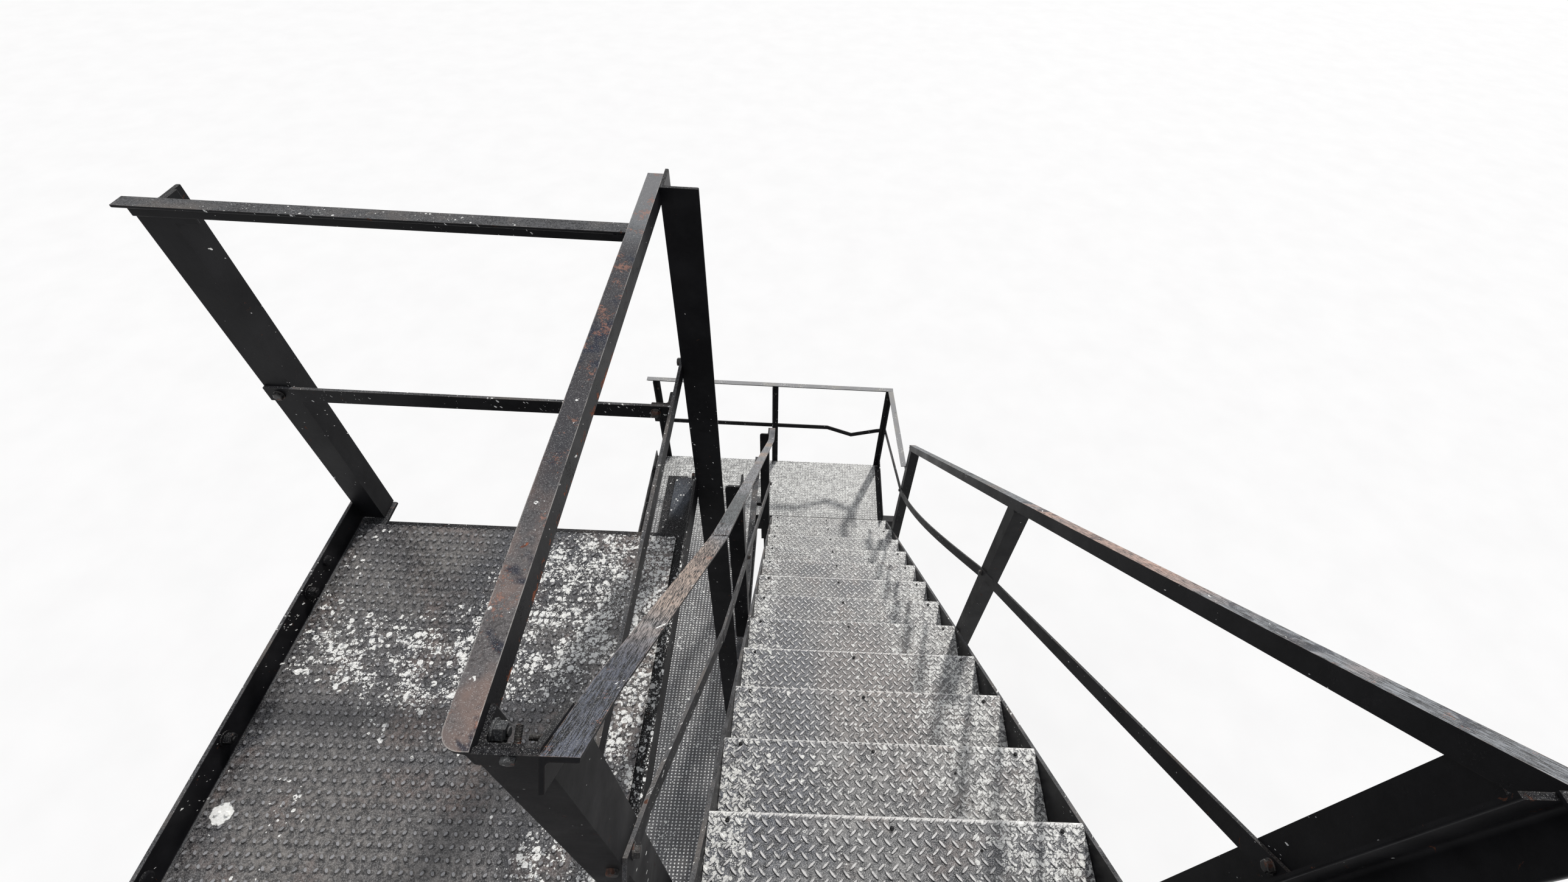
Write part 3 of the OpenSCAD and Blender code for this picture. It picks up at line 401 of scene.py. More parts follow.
slopedPaint = dict(
    railPaint, lie=(0.745, 0, 0), grain=(1.0, 0.045, 1.0), topBand=(0.69, 0.73),
    brownFrom=0.50, wornGrey=(0.33, 0.335, 0.35), wornBrown=(0.42, 0.34, 0.29),
    fineScale=1000.0, fineShare=0.85, wearFrom=0.470, wearSoft=0.06, primerFrom=0.60,
    flakeFrom=0.74, patchScale=3.2, blotAmount=0.2, rusty=[], edge=(0.42, 0.33, 0.28),
    edgeAmount=0.5,
    tints=[((0.842, -0.70, 0.73), (0.08, 0.20, 0.22), (0.095, 0.105, 0.135), 0.9),
           ((0.842, -0.36, 0.42), (0.08, 0.26, 0.26), (0.45, 0.355, 0.295), 0.8),
           ((0.87, 0.06, 0.03), (0.08, 0.26, 0.28), (0.135, 0.15, 0.155), 0.9)])
rightPaint = dict(
    slopedPaint, brownFrom=0.49, wornGrey=(0.27, 0.285, 0.305), blotAmount=0.7,
    wornBrown=(0.46, 0.33, 0.28), wearFrom=0.455,
    tints=[((1.67, -0.10, 0.18), (0.08, 0.30, 0.32), (0.52, 0.36, 0.30), 0.8),
           ((1.67, 0.9, -0.75), (0.08, 0.75, 0.75), (0.17, 0.18, 0.18), 0.8)])
paleRailPaint = dict(
    plainPaint, topWear=1.0, wearFrom=0.25, wornGrey=(0.30, 0.30, 0.305),
    wornBrown=(0.35, 0.34, 0.32), edge=(0.5, 0.5, 0.48), edgeAmount=0.9, primerAmount=0.1,
    lichen=0.45)
dustyPaint = dict(
    plainPaint, wearFrom=0.40, wearSoft=0.14, wornGrey=(0.11, 0.112, 0.118),
    wornBrown=(0.13, 0.118, 0.11), topWear=0.9, edge=(0.22, 0.20, 0.19), edgeAmount=0.6,
    lichen=0.22)
edgePaint = dict(
    dustyPaint, topWear=0.5, wornGrey=(0.035, 0.034, 0.034), wornBrown=(0.045, 0.044, 0.044),
    edgeAmount=0.35, lichen=0.12,
    lichenSizes=[(75.0, 0.48, 0.6), (170.0, 0.42, 0.7), (460.0, 0.36, 0.6)],
    regions=[((0.765, -0.42, 0), (0.03, 0.40, 0.2), 0.75)],
    tints=[((0.730, 0.115, 0), (0.03, 0.07, 0.05), (0.16, 0.18, 0.215), 1.0)])
darkSteel = dict(plainPaint, topWear=0.25, edgeAmount=0.2)
crustedSteel = dict(plainPaint, faded=(0.03, 0.034, 0.038), wornGrey=(0.10, 0.105, 0.11),
                    gloss=0.5, rough=0.3, lichen=0.9, flakeFrom=0.6)
boltSteel = dict(plainPaint, flakeFrom=0.56, faded=(0.03, 0.028, 0.027),
                 wornGrey=(0.12, 0.115, 0.11), gloss=0.4, rough=0.35)


def alongBar(tree, where, look):
    turned = put(tree, "Mapping", {"Vector": where, "Rotation": look["lie"]}).outputs[0]
    return put(tree, "Mapping", {"Vector": turned, "Scale": look["grain"]}).outputs[0]


def wornTone(tree, where, look, broad):
    brown = remap(tree, broad, look["brownFrom"], look["brownFrom"] + look["brownSoft"])
    tone = blendColours(tree, brown, look["wornGrey"], look["wornBrown"])
    tone = addTints(tree, tone, where, look)
    blots = noise(tree, where, look["blotScale"], rough=0.6, distortion=0.4)
    blots = times(tree, remap(tree, blots, *look["blotBand"]), look["blotAmount"])
    return blendColours(tree, blots, tone, look["blot"])


def wornShare(tree, look, broad, fine, top):
    wear = plus(tree, times(tree, fine, look["fineShare"]),
                times(tree, broad, 1.0 - look["fineShare"]))
    wear = remap(tree, wear, look["wearFrom"], look["wearFrom"] + look["wearSoft"])
    return times(tree, times(tree, top, wear), look["topWear"])


def rustFlakes(tree, where, look):
    flakes = noise(tree, where, look["flakeScale"], detail=5.0, rough=0.7, distortion=0.6)
    for centre, size, amount in look["rusty"]:
        near = region(tree, where, at(*centre), size)
        flakes = plus(tree, flakes, times(tree, amount, near))
    return remap(tree, flakes, look["flakeFrom"], look["flakeFrom"] + look["flakeSoft"])


def primerSpots(tree, where, look, speck):
    broad = noise(tree, where, look["primerScale"], detail=4.0, rough=0.6)
    spots = plus(tree, times(tree, speck, look["speckShare"]),
                 times(tree, broad, 1.0 - look["speckShare"]))
    return remap(tree, spots, look["primerFrom"], look["primerFrom"] + look["primerSoft"])


def wornEdges(tree, where, look, upward):
    topFrom = look["topBand"][0]
    broken = remap(tree, noise(tree, where, look["edgeScale"]), *look["edgeBand"])
    worn = times(tree, edgeMask(tree, look["edgeWidth"]), broken)
    facing = remap(tree, upward, topFrom, topFrom + look["topSoft"], look["edgeBelow"], 1.0)
    return times(tree, times(tree, worn, facing), look["edgeAmount"])


def paintLichen(tree, where, look, upward):
    density = remap(tree, noise(tree, where, look["lichenScale"]), *look["lichenBand"],
                    0.0, look["lichen"])
    density = times(tree, density, remap(tree, upward, *look["lichenFacing"]))
    for centre, size, amount in look["regions"]:
        near = times(tree, region(tree, where, at(*centre), size), amount)
        near = times(tree, near, remap(tree, upward, *look["regionFacing"]))
        density = plus(tree, density, near)
    return lichenLayers(tree, where, density, look["lichenSizes"])


def makePaintMaterial(name, look):
    material, tree, shader = startMaterial(name)
    where, upward = objectPlace(tree), upwardness(tree)
    top = remap(tree, upward, *look["topBand"])
    broad = noise(tree, where, look["patchScale"], detail=4.0, rough=0.6, distortion=0.3)
    fine = noise(tree, alongBar(tree, where, look), look["fineScale"], detail=4.0, rough=0.7)
    speck = noise(tree, where, look["speckScale"], detail=4.0, rough=0.75)
    faded = noise(tree, where, look["fadeScale"], detail=4.0, rough=0.65)
    colour = blendColours(tree, remap(tree, faded, *look["fadeBand"]), look["paint"],
                          look["faded"])
    worn = wornShare(tree, look, broad, fine, top)
    colour = blendColours(tree, worn, colour, wornTone(tree, where, look, broad))
    dust = noise(tree, where, look["dustScale"], detail=2.0, rough=0.6)
    dust = times(tree, top, remap(tree, dust, *look["dustBand"]))
    colour = blendColours(tree, times(tree, dust, look["dustAmount"]), colour, look["dust"])
    flakes = rustFlakes(tree, where, look)
    rust = blendColours(tree, remap(tree, speck, *look["rustBand"]), look["rustDark"],
                        look["rustBright"])
    colour = blendColours(tree, times(tree, flakes, look["flakeAmount"]), colour, rust)
    primer = primerSpots(tree, where, look, speck)
    bared = times(tree, times(tree, primer, top), look["primerAmount"])
    colour = blendColours(tree, bared, colour, look["primer"])
    colour = blendColours(tree, wornEdges(tree, where, look, upward), colour, look["edge"])
    grown = paintLichen(tree, where, look, upward)
    colour = blendColours(tree, grown, colour, lichenColour(tree, where))
    bare = times(tree, maths(tree, "MAXIMUM", worn, flakes), look["bareRough"])
    rough = plus(tree, roughness(tree, broad, look), bare, clamp=True)
    pits = times(tree, maths(tree, "MAXIMUM", flakes, primer), look["pitDepth"])
    height = minus(tree, times(tree, fine, look["fineHeight"]), pits)
    height = plus(tree, height, times(tree, grown, look["lichenHeight"]))
    finishSurface(tree, shader, colour, rough, height, look["bump"])
    shader.inputs["Specular IOR Level"].default_value = look["gloss"]
    return material


paints = {
    "blackPaint": plainPaint, "dustyPaint": dustyPaint, "edgePaint": edgePaint,
    "wornRailPaint": railPaint, "slopedRailPaint": slopedPaint, "rightRailPaint": rightPaint,
    "paleRailPaint": paleRailPaint, "darkSteel": darkSteel, "crustedSteel": crustedSteel,
    "boltSteel": boltSteel,
}
plates = {
    "treadPlate": treadLook, "treadLugs": {**treadLook, **lugWear},
    "upperFloor": upperFloorLook, "upperKnobs": {**upperFloorLook, **lugWear},
    "lowerFloor": lowerFloorLook, "lowerDots": {**lowerFloorLook, **lugWear},
}
materials = {name: makePaintMaterial(name, look) for name, look in paints.items()}
materials.update({name: makePlateMaterial(name, look) for name, look in plates.items()})

# finishes of the nodes that aren't in plain black paint
nodeFinish = {
    "upper_treads": "treadPlate", "lower_treads": "treadPlate",
    "upper_floor_plates": "upperFloor", "lower_floor_plates": "lowerFloor",
    "outer_top_rail": "wornRailPaint", "left_handrail": "slopedRailPaint",
    "right_handrail": "rightRailPaint", "lower_handrails": "slopedRailPaint",
    "landing_top_rails": "paleRailPaint", "end_rails": "dustyPaint",
    "upper_edge_angles": "edgePaint", "lower_edge_angles": "edgePaint",
    "left_mid_rail": "dustyPaint", "lower_balcony_rails": "dustyPaint",
    "outer_mid_rail": "dustyPaint", "left_stringer": "dustyPaint", "right_stringer": "dustyPaint",
    "upper_ledger": "dustyPaint", "lower_ledger": "dustyPaint",
}
for nodeName, node in cadNodes.items():
    node.data.materials.clear()
    node.data.materials.append(materials[nodeFinish.get(nodeName, "blackPaint")])
print("materials on", len(cadNodes), "nodes")


# modelling helpers
def clearSelection():
    if bpy.context.object is not None and bpy.context.object.mode != "OBJECT":
        bpy.ops.object.mode_set(mode="OBJECT")
    bpy.ops.object.select_all(action="DESELECT")


def activate(piece):
    clearSelection()
    bpy.context.view_layer.objects.active = piece
    piece.select_set(True)


def settle(piece):                          # puts the piece's place, turn and scale in its mesh
    activate(piece)
    bpy.ops.object.transform_apply(location=True, rotation=True, scale=True)
    return piece


def addCylinder(sides, radius, height, bottom):
    clearSelection()
    bpy.ops.mesh.primitive_cylinder_add(vertices=sides, radius=radius, depth=height,
                                        location=(0, 0, bottom + height / 2))
    return bpy.context.object


def applyModifier(piece, kind, **settings):
    activate(piece)
    modifier = piece.modifiers.new(kind.title(), kind)
    for key, value in settings.items():
        setattr(modifier, key, value)
    bpy.ops.object.modifier_apply(modifier=modifier.name)


def repeat(piece, count, step):
    applyModifier(piece, "ARRAY", count=count, use_relative_offset=False,
                  use_constant_offset=True, constant_offset_displace=step)


def selectTop(piece):                       # leaves edit mode on, with the top face selected
    activate(piece)
    bpy.ops.object.mode_set(mode="EDIT")
    bpy.ops.mesh.select_mode(type="FACE")
    bpy.ops.mesh.select_all(action="DESELECT")
    bpy.ops.object.mode_set(mode="OBJECT")
    for face in piece.data.polygons:
        face.select = face.normal.z > 0.9
    bpy.ops.object.mode_set(mode="EDIT")


def insetTop(piece, insets):                # each inset has a thickness and a depth
    selectTop(piece)
    for thickness, depth in insets:
        bpy.ops.mesh.inset(thickness=thickness, depth=depth)
    bpy.ops.object.mode_set(mode="OBJECT")


def joinPieces(pieces, name):
    clearSelection()
    for piece in pieces:
        piece.select_set(True)
    bpy.context.view_layer.objects.active = pieces[0]
    if len(pieces) > 1:
        bpy.ops.object.join()
    joined = bpy.context.view_layer.objects.active
    joined.name = name
    return joined


def placeCopies(template, places, name):    # each place has a point, a direction and a turn
    made = []
    for point, direction, turn in places:
        copy = template.copy()
        copy.data = template.data.copy()
        bpy.context.scene.collection.objects.link(copy)
        facing = Vector((0, 0, 1)).rotation_difference(Vector(direction)).to_matrix().to_4x4()
        copy.data.transform(Matrix.Translation(point) @ facing @ Matrix.Rotation(turn, 4, "Z"))
        made.append(copy)
    return joinPieces(made, name)


def dress(piece, finish):
    piece.data.materials.clear()
    piece.data.materials.append(materials[finish])
    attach(piece, "root")
    return piece


def remove(piece):
    bpy.data.objects.remove(piece)


# raised patterns of the plates: turns are the lugs' angles and start is where a pattern begins.
# Lugs that cross a plate's edge are cut off just inside it
treadLug = {"length": 0.0255, "width": 0.0088, "height": 0.0021, "sink": 0.0004, "sides": 8,
            "topLength": 0.72, "topWidth": 0.5, "pitchX": 0.0279, "pitchY": 0.0297,
            "turns": (-47, 44), "starts": ((0.017, 0.008), (0.004, 0.017), (0.024, 0.024)),
            "sideGap": 0.001, "backGap": 0.001, "frontGap": 0.003}
floorKnob = {"length": 0.0130, "width": 0.0094, "height": 0.0030, "sink": 0.0004, "sides": 8,
             "topLength": 0.62, "topWidth": 0.55, "pitchX": 0.0174, "pitchY": 0.0200,
             "turns": (-52, 48), "start": (0.008, 0.009)}
floorDot = {"length": 0.0150, "width": 0.0135, "height": 0.0021, "sink": 0.0004, "sides": 4,
            "topLength": 0.68, "topWidth": 0.68, "pitchX": 0.0190, "pitchY": 0.0152,
            "turn": 45, "start": (0.009, 0.008)}
patchRim = 0.0006
spareCells = 3                              # so that a pattern reaches past all its edges


def modelLug(size, turn, x, y):             # starts one metre across and is scaled to its size
    lug = addCylinder(size["sides"], 0.5, size["height"] + size["sink"], -size["sink"])
    lug.scale = (size["length"], size["width"], 1)
    settle(lug)
    selectTop(lug)
    bpy.ops.transform.resize(value=(size["topLength"], size["topWidth"], 1))
    bpy.ops.object.mode_set(mode="OBJECT")
    lug.rotation_euler = (0, 0, math.radians(turn))
    lug.location = (x, y, 0)
    return settle(lug)


def modelPatch(lugs, cell, width, depth, start):
    field = joinPieces(lugs, "patch")
    field.location = (start[0] - cell[0], start[1] - cell[1], 0)
    settle(field)
    repeat(field, int(width / cell[0]) + spareCells, (cell[0], 0, 0))
    repeat(field, int(depth / cell[1]) + spareCells, (0, cell[1], 0))
    for point, outward in (((patchRim, 0, 0), (-1, 0, 0)), ((width - patchRim, 0, 0), (1, 0, 0)),
                           ((0, patchRim, 0), (0, -1, 0)), ((0, depth - patchRim, 0), (0, 1, 0))):
        activate(field)
        bpy.ops.object.mode_set(mode="EDIT")
        bpy.ops.mesh.select_all(action="SELECT")
        bpy.ops.mesh.bisect(plane_co=point, plane_no=outward, use_fill=True, clear_outer=True)
        bpy.ops.object.mode_set(mode="OBJECT")
    return field


def treadPatch(start):
    stepX, stepY = treadLug["pitchX"], treadLug["pitchY"]
    one, other = treadLug["turns"]
    lugs = [modelLug(treadLug, one, 0, 0), modelLug(treadLug, other, stepX / 2, stepY / 2)]
    width = stair["flightWidth"] - 2 * treadLug["sideGap"]
    depth = stair["treadDepth"] - treadLug["backGap"] - treadLug["frontGap"]
    return modelPatch(lugs, (stepX, stepY), width, depth, start)


def knobPatch(width, depth):
    stepX, stepY = floorKnob["pitchX"], floorKnob["pitchY"]
    one, other = floorKnob["turns"]
    lugs = [modelLug(floorKnob, one, 0, 0), modelLug(floorKnob, other, stepX, 0),
            modelLug(floorKnob, other, 0, stepY), modelLug(floorKnob, one, stepX, stepY)]
    return modelPatch(lugs, (2 * stepX, 2 * stepY), width, depth, floorKnob["start"])


def dotPatch(width, depth):
    cell = (floorDot["pitchX"], floorDot["pitchY"])
    lugs = [modelLug(floorDot, floorDot["turn"], 0, 0)]
    return modelPatch(lugs, cell, width, depth, floorDot["start"])


patches = [treadPatch(start) for start in treadLug["starts"]]
for name, (headZ, count) in zip(("upperTreadLugs", "lowerTreadLugs"), flights):
    copies = []
    for step in range(1, count + 1):
        backY = stair["headY"] + stair["run"] * step - stair["treadDepth"]
        corner = at(stair["leftIn"] + treadLug["sideGap"], backY + treadLug["backGap"],
                    headZ - stair["riser"] * step)
        patch = patches[step % len(patches)]
        copies.append(placeCopies(patch, [(corner, (0, 0, 1), 0)], "lugs"))
    lugs = dress(joinPieces(copies, name), "treadLugs")
    print(name, len(lugs.data.polygons), "faces")
for patch in patches:
    remove(patch)

# the floor plates' outlines, each the x and y of one corner and then of the opposite one
plan = {"backEdge": 0.014, "edge": 0.741, "headEdge": 1.6245, "footEdge": 1.591,
        "farEnd": -0.014, "header": -0.762, "headEnd": -1.522, "footStart": 1.8736,
        "footEnd": 2.3736, "stripStart": 1.7726, "stripEnd": 1.9576, "seam": 0.002}


def outline(startX, endX, startY, endY):    # ends a seam short of the plate that comes next
    return plan[startX], plan[startY], plan[endX], plan[endY] - plan["seam"]


headPlate = outline("backEdge", "headEdge", "headEnd", "header")
upperPlates = [(plan["backEdge"], plan["header"], plan["edge"], plan["farEnd"]), headPlate]
lowerPlates = [
    outline("backEdge", "edge", "header", "stripStart"),
    outline("backEdge", "edge", "stripStart", "stripEnd"),
    (plan["backEdge"], plan["stripEnd"], plan["edge"], plan["footEnd"]),
    (plan["edge"] + plan["seam"], plan["footStart"], plan["footEdge"], plan["footEnd"]),
    headPlate]
for name, outlines, model, finish, slot, level in (
        ("upperFloorKnobs", upperPlates, knobPatch, "upperKnobs", "upper_floor_plate", 0.0),
        ("lowerFloorDots", lowerPlates, dotPatch, "lowerDots", "lower_floor_plate",
         stair["lowerZ"])):
    fields = []
    for x0, y0, x1, y1 in outlines:
        field = model(x1 - x0, y1 - y0)
        field.location = at(x0, y0, level)
        fields.append(settle(field))
    knobs = dress(joinPieces(fields, name), finish)
    print(name, len(knobs.data.polygons), "faces")


# bolts, nuts, screws, studs and welds. A dictionary's plug, bolt, nut and other such values hold
# the sizes that the model functions below take, in the same order
headShape = {"washerHeight": 0.0022, "washerSides": 16, "washerSink": 0.0004,
             "washerBevel": 0.0006, "sink": 0.0003, "inset": 0.10, "dome": 0.16, "crown": 0.03}
studShape = {"sides": 12, "root": 0.82, "pitch": 0.0018, "fromNut": 0.0015}
screwShape = {"sides": 14, "sink": 0.0003, "insets": ((0.25, 0.35), (0.35, 0.10))}
beadFlat = 0.72


def modelHead(flats, height, washer=0.0):
    base = 0.0
    parts = []
    if washer:
        base, sink = headShape["washerHeight"], headShape["washerSink"]
        ring = settle(addCylinder(headShape["washerSides"], washer / 2, base + sink, -sink))
        applyModifier(ring, "BEVEL", width=headShape["washerBevel"], segments=1,
                      limit_method="ANGLE")
        parts.append(ring)
    head = settle(addCylinder(6, flats / math.sqrt(3), height, base - headShape["sink"]))
    insetTop(head, [(flats * headShape["inset"], height * headShape["dome"]),
                    (flats * headShape["inset"], height * headShape["crown"])])
    return joinPieces(parts + [head], "head")


def modelStud(radius, length, pitch=studShape["pitch"]):
    root = radius * studShape["root"]
    halves = []
    for lower, upper, middle in ((root, radius, pitch / 4), (radius, root, pitch * 3 / 4)):
        clearSelection()
        bpy.ops.mesh.primitive_cone_add(vertices=studShape["sides"], radius1=lower,
                                        radius2=upper, depth=pitch / 2, location=(0, 0, middle))
        halves.append(settle(bpy.context.object))
    ridge = joinPieces(halves, "stud")
    repeat(ridge, max(2, int(length / pitch)), (0, 0, pitch))
    return ridge


def modelNut(flats, height, radius, past, washer):
    nut = modelHead(flats, height, washer)
    stud = modelStud(radius, past)
    stud.data.transform(Matrix.Translation((0, 0, height + studShape["fromNut"])))
    return joinPieces([nut, stud], "nut")


def modelScrew(radius, height):
    screw = settle(addCylinder(screwShape["sides"], radius, height, -screwShape["sink"]))
    insetTop(screw, [(radius * inward, height * down) for inward, down in screwShape["insets"]])
    return screw


def modelBead(radius):
    clearSelection()
    bpy.ops.mesh.primitive_ico_sphere_add(subdivisions=2, radius=radius)
    bead = bpy.context.object
    bead.scale = (1.0, 1.0, beadFlat)
    settle(bead)
    activate(bead)
    bpy.ops.object.shade_smooth()
    return bead


def jitter(amount):
    return random.uniform(-amount, amount)


def scatter(points, direction, template, name, finish="boltSteel"):
    places = [(at(*point), direction, random.uniform(0, math.pi)) for point in points]
    dress(placeCopies(template, places, name), finish)
    remove(template)


# three screws near each tread's front and a small hole behind them; back is from the nosing
treadScrew = {"radius": 0.0046, "height": 0.0030, "level": 0.0008, "stray": (0.004, 0.002),
              "places": ((0.908, 0.018), (1.242, 0.024), (1.600, 0.020))}
plateHole = {"radius": 0.0032, "height": 0.0008, "level": 0.0002, "stray": (0.012, 0.01),
             "x": 1.435, "back": 0.060, "onBalcony": (0.181, -0.029)}
screws, holes = [], []
for headZ, count in flights:
    for step in range(1, count + 1):
        front = stair["headY"] + stair["run"] * step
        top = headZ - stair["riser"] * step
        for x, back in treadScrew["places"]:
            strayX, strayY = (jitter(amount) for amount in treadScrew["stray"])
            screws.append((x + strayX, front - back + strayY, top + treadScrew["level"]))
        strayX, strayY = (jitter(amount) for amount in plateHole["stray"])
        holes.append((plateHole["x"] + strayX, front - plateHole["back"] + strayY,
                      top + plateHole["level"]))
holes.append((*plateHole["onBalcony"], plateHole["level"]))
scatter(screws, (0, 0, 1), modelScrew(treadScrew["radius"], treadScrew["height"]), "treadScrews",
        "darkSteel")
scatter(holes, (0, 0, 1), modelScrew(plateHole["radius"], plateHole["height"]), "plateHoles",
        "darkSteel")

# low heads in the upper ledger's holes, and nuts where they are seen above and guessed below
ledger = {"face": 0.00635, "pitch": 0.6, "holeZ": 0.03235, "upperFirst": -1.3366,
          "lowerFirst": -1.3782, "upperHoles": 3, "lowerHoles": 7, "nutZ": 0.0305,
          "nutYs": (-0.213, -0.516, -0.905, -1.170), "plug": (0.0115, 0.0045),
          "nut": (0.019, 0.011, 0.0055, 0.006, 0.030)}
plugs = [(ledger["face"], ledger["upperFirst"] + ledger["pitch"] * i, ledger["holeZ"])
         for i in range(ledger["upperHoles"])]
nuts = [(ledger["face"], y, ledger["nutZ"]) for y in ledger["nutYs"]]
nuts += [(ledger["face"], ledger["lowerFirst"] + ledger["pitch"] * i,
          ledger["holeZ"] + stair["lowerZ"]) for i in range(ledger["lowerHoles"])]
scatter(plugs, (1, 0, 0), modelScrew(*ledger["plug"]), "ledgerPlugs", "darkSteel")
scatter(nuts, (1, 0, 0), modelNut(*ledger["nut"]), "ledgerNuts", "darkSteel")

# four anchors in each column's foot plate and one in each stringer's foot angle
foot = {"centres": ((0.80675, 0.14975), (0.801, -0.73025), (1.69025, -0.73025),
                    (0.80675, -1.56175), (1.69025, -1.56175), (0.80675, 2.34185),
                    (1.69025, 1.90535)),
        "anchor": 0.051, "plate": 0.012, "angle": 0.00635, "angleXs": (0.905, 1.611),
        "angleY": 2.5345, "nut": (0.024, 0.011, 0.0078, 0.014, 0.034)}
anchors = [(x + i * foot["anchor"], y + j * foot["anchor"], footZ + foot["plate"])
           for x, y in foot["centres"] for i in (-1, 1) for j in (-1, 1)]
anchors += [(x, foot["angleY"], footZ + foot["angle"]) for x in foot["angleXs"]]
scatter(anchors, (0, 0, 1), modelNut(*foot["nut"]), "footAnchors")

# bolts of the flights' posts: two through the stringer and one through the mid rail at each
post = {"upperLeft": (0.345, 1.680), "upperRight": (0.285, 1.660),
        "lower": (0.345, 1.420, 2.495), "middle": 0.0254, "drops": (0.050, 0.115),
        "midRail": 0.392, "railOut": 0.0035, "bolt": (0.015, 0.0065, 0.020)}


def postBolts(stringerX, railX, posts, headZ):
    points = []
    for y in posts:
        line = nosing(y + post["middle"], headZ)
        points += [(stringerX, y + post["middle"], line - drop) for drop in post["drops"]]
        points.append((railX, y + post["middle"], line + post["midRail"]))
    return points


# single bolts where rails meet columns; those of a flight's rails follow the nosings
railBolt = {"leftX": 0.833, "leftY": -0.742, "rightY": -0.735, "farY": 0.150, "edgeX": 0.76865,
            "edgeUp": 0.030, "guardX": 1.65215, "guardY": -0.790, "guardDown": 0.016,
            "balcony": ((0.769, 0.150, 0.398), (0.770, 0.150, 0.774), (0.769, -0.742, 0.396))}
rightRailX = rightIn + post["railOut"]
inward, outward = [], []                    # heads that face +X and -X
for headZ, leftPosts, rightPosts in (
        (0.0, post["upperLeft"], post["upperRight"]),
        (stair["lowerZ"], post["lower"], post["lower"])):
    inward += postBolts(stair["leftIn"], stair["leftIn"] - post["railOut"], leftPosts, headZ)
    outward += postBolts(rightIn, rightRailX, rightPosts, headZ)
    inward.append((railBolt["leftX"], railBolt["leftY"],
                   nosing(railBolt["leftY"], headZ) + post["midRail"]))
    outward.append((rightRailX, railBolt["rightY"],
                    nosing(railBolt["rightY"], headZ) + post["midRail"]))
for level, midRail in ((0.0, stair["upperMid"]), (stair["lowerZ"], stair["lowerMid"])):
    outward.append((railBolt["edgeX"], railBolt["farY"], level + railBolt["edgeUp"]))
    outward.append((railBolt["guardX"], railBolt["guardY"],
                    level + midRail - railBolt["guardDown"]))
outward += railBolt["balcony"]
scatter(inward, (1, 0, 0), modelHead(*post["bolt"]), "innerBolts")
scatter(outward, (-1, 0, 0), modelHead(*post["bolt"]), "outerBolts")

# hardware round the head of the near left column: point, direction, template's sizes
corner = {"columnBolt": ((0.811, -0.762, 0.363), (0, -1, 0), (0.015, 0.007)),
          "clipBolt": ((0.802, -0.762, 0.779), (0, -1, 0), (0.011, 0.0045)),
          "clipNut": ((0.780, -0.738, 0.768), (1, 0, 0), (0.016, 0.008, 0.0048, 0.004, 0.022)),
          "clipStud": ((0.804, -0.7506, 0.775), (-0.1, 1, 0.12), (0.0032, 0.016, 0.0012)),
          "railStud": ((0.8207, -0.742, 0.768), (-1, 0, 0.1), (0.0030, 0.011, 0.0012))}
for part, model, name, finish in (
        ("columnBolt", modelHead, "nearColumnBolt", "boltSteel"),
        ("clipBolt", modelHead, "clipBolt", "crustedSteel"),
        ("clipNut", modelNut, "clipNut", "crustedSteel"),
        ("clipStud", modelStud, "clipStud", "boltSteel"),
        ("railStud", modelStud, "railStud", "boltSteel")):
    point, direction, sizes = corner[part]
    scatter([point], direction, model(*sizes), name, finish)

# heads on the guards' faces at the two far ends
farBolt = {"midRail": ((0.741, 0.0, 0.398), (0.030, 0.0, 0.398)),
           "midRailBolt": (0.015, 0.006, 0.020), "postXs": (0.089, 0.859, 1.600),
           "postY": 2.3686, "postZ": -1.765, "postBolt": (0.013, 0.005, 0.018)}
scatter(farBolt["midRail"], (0, -1, 0), modelHead(*farBolt["midRailBolt"]), "midRailBolts")
scatter([(x, farBolt["postY"], farBolt["postZ"]) for x in farBolt["postXs"]], (0, -1, 0),
        modelHead(*farBolt["postBolt"]), "landingBolts")

# weld metal: across the left handrail's joint, under the handrails at the posts, at the near
# column's plate and round the columns' feet
joint = {"y": -0.170, "farX": 0.8895, "step": 0.0016, "bead": 0.0016}
seam = {"postDown": 0.020, "startDown": 0.002, "endDown": 0.048, "length": 0.050, "step": 0.0035,
        "plateX": 0.827, "plateStart": (-0.760, 0.772), "plateEnd": (-0.702, 0.720),
        "plateStep": 0.003, "footHalf": 0.030, "rightFootHalf": 0.03175, "footStep": 0.004,
        "bead": 0.0037, "overlap": 0.9, "stray": 0.18, "tilt": 0.3}


def weldLine(start, end, step):
    start, end = at(*start), at(*end)
    count = max(2, int((end - start).length / (step * seam["overlap"])))
    places = []
    for i in range(count + 1):
        stray = Vector([jitter(step * seam["stray"]) for _ in range(3)])
        spot = start.lerp(end, i / count) + stray
        tilt = (jitter(seam["tilt"]), jitter(seam["tilt"]), 1)
        places.append((spot, tilt, random.uniform(0, math.pi)))
    return places


def handrailTop(y):
    return nosing(y) + stair["handrail"]


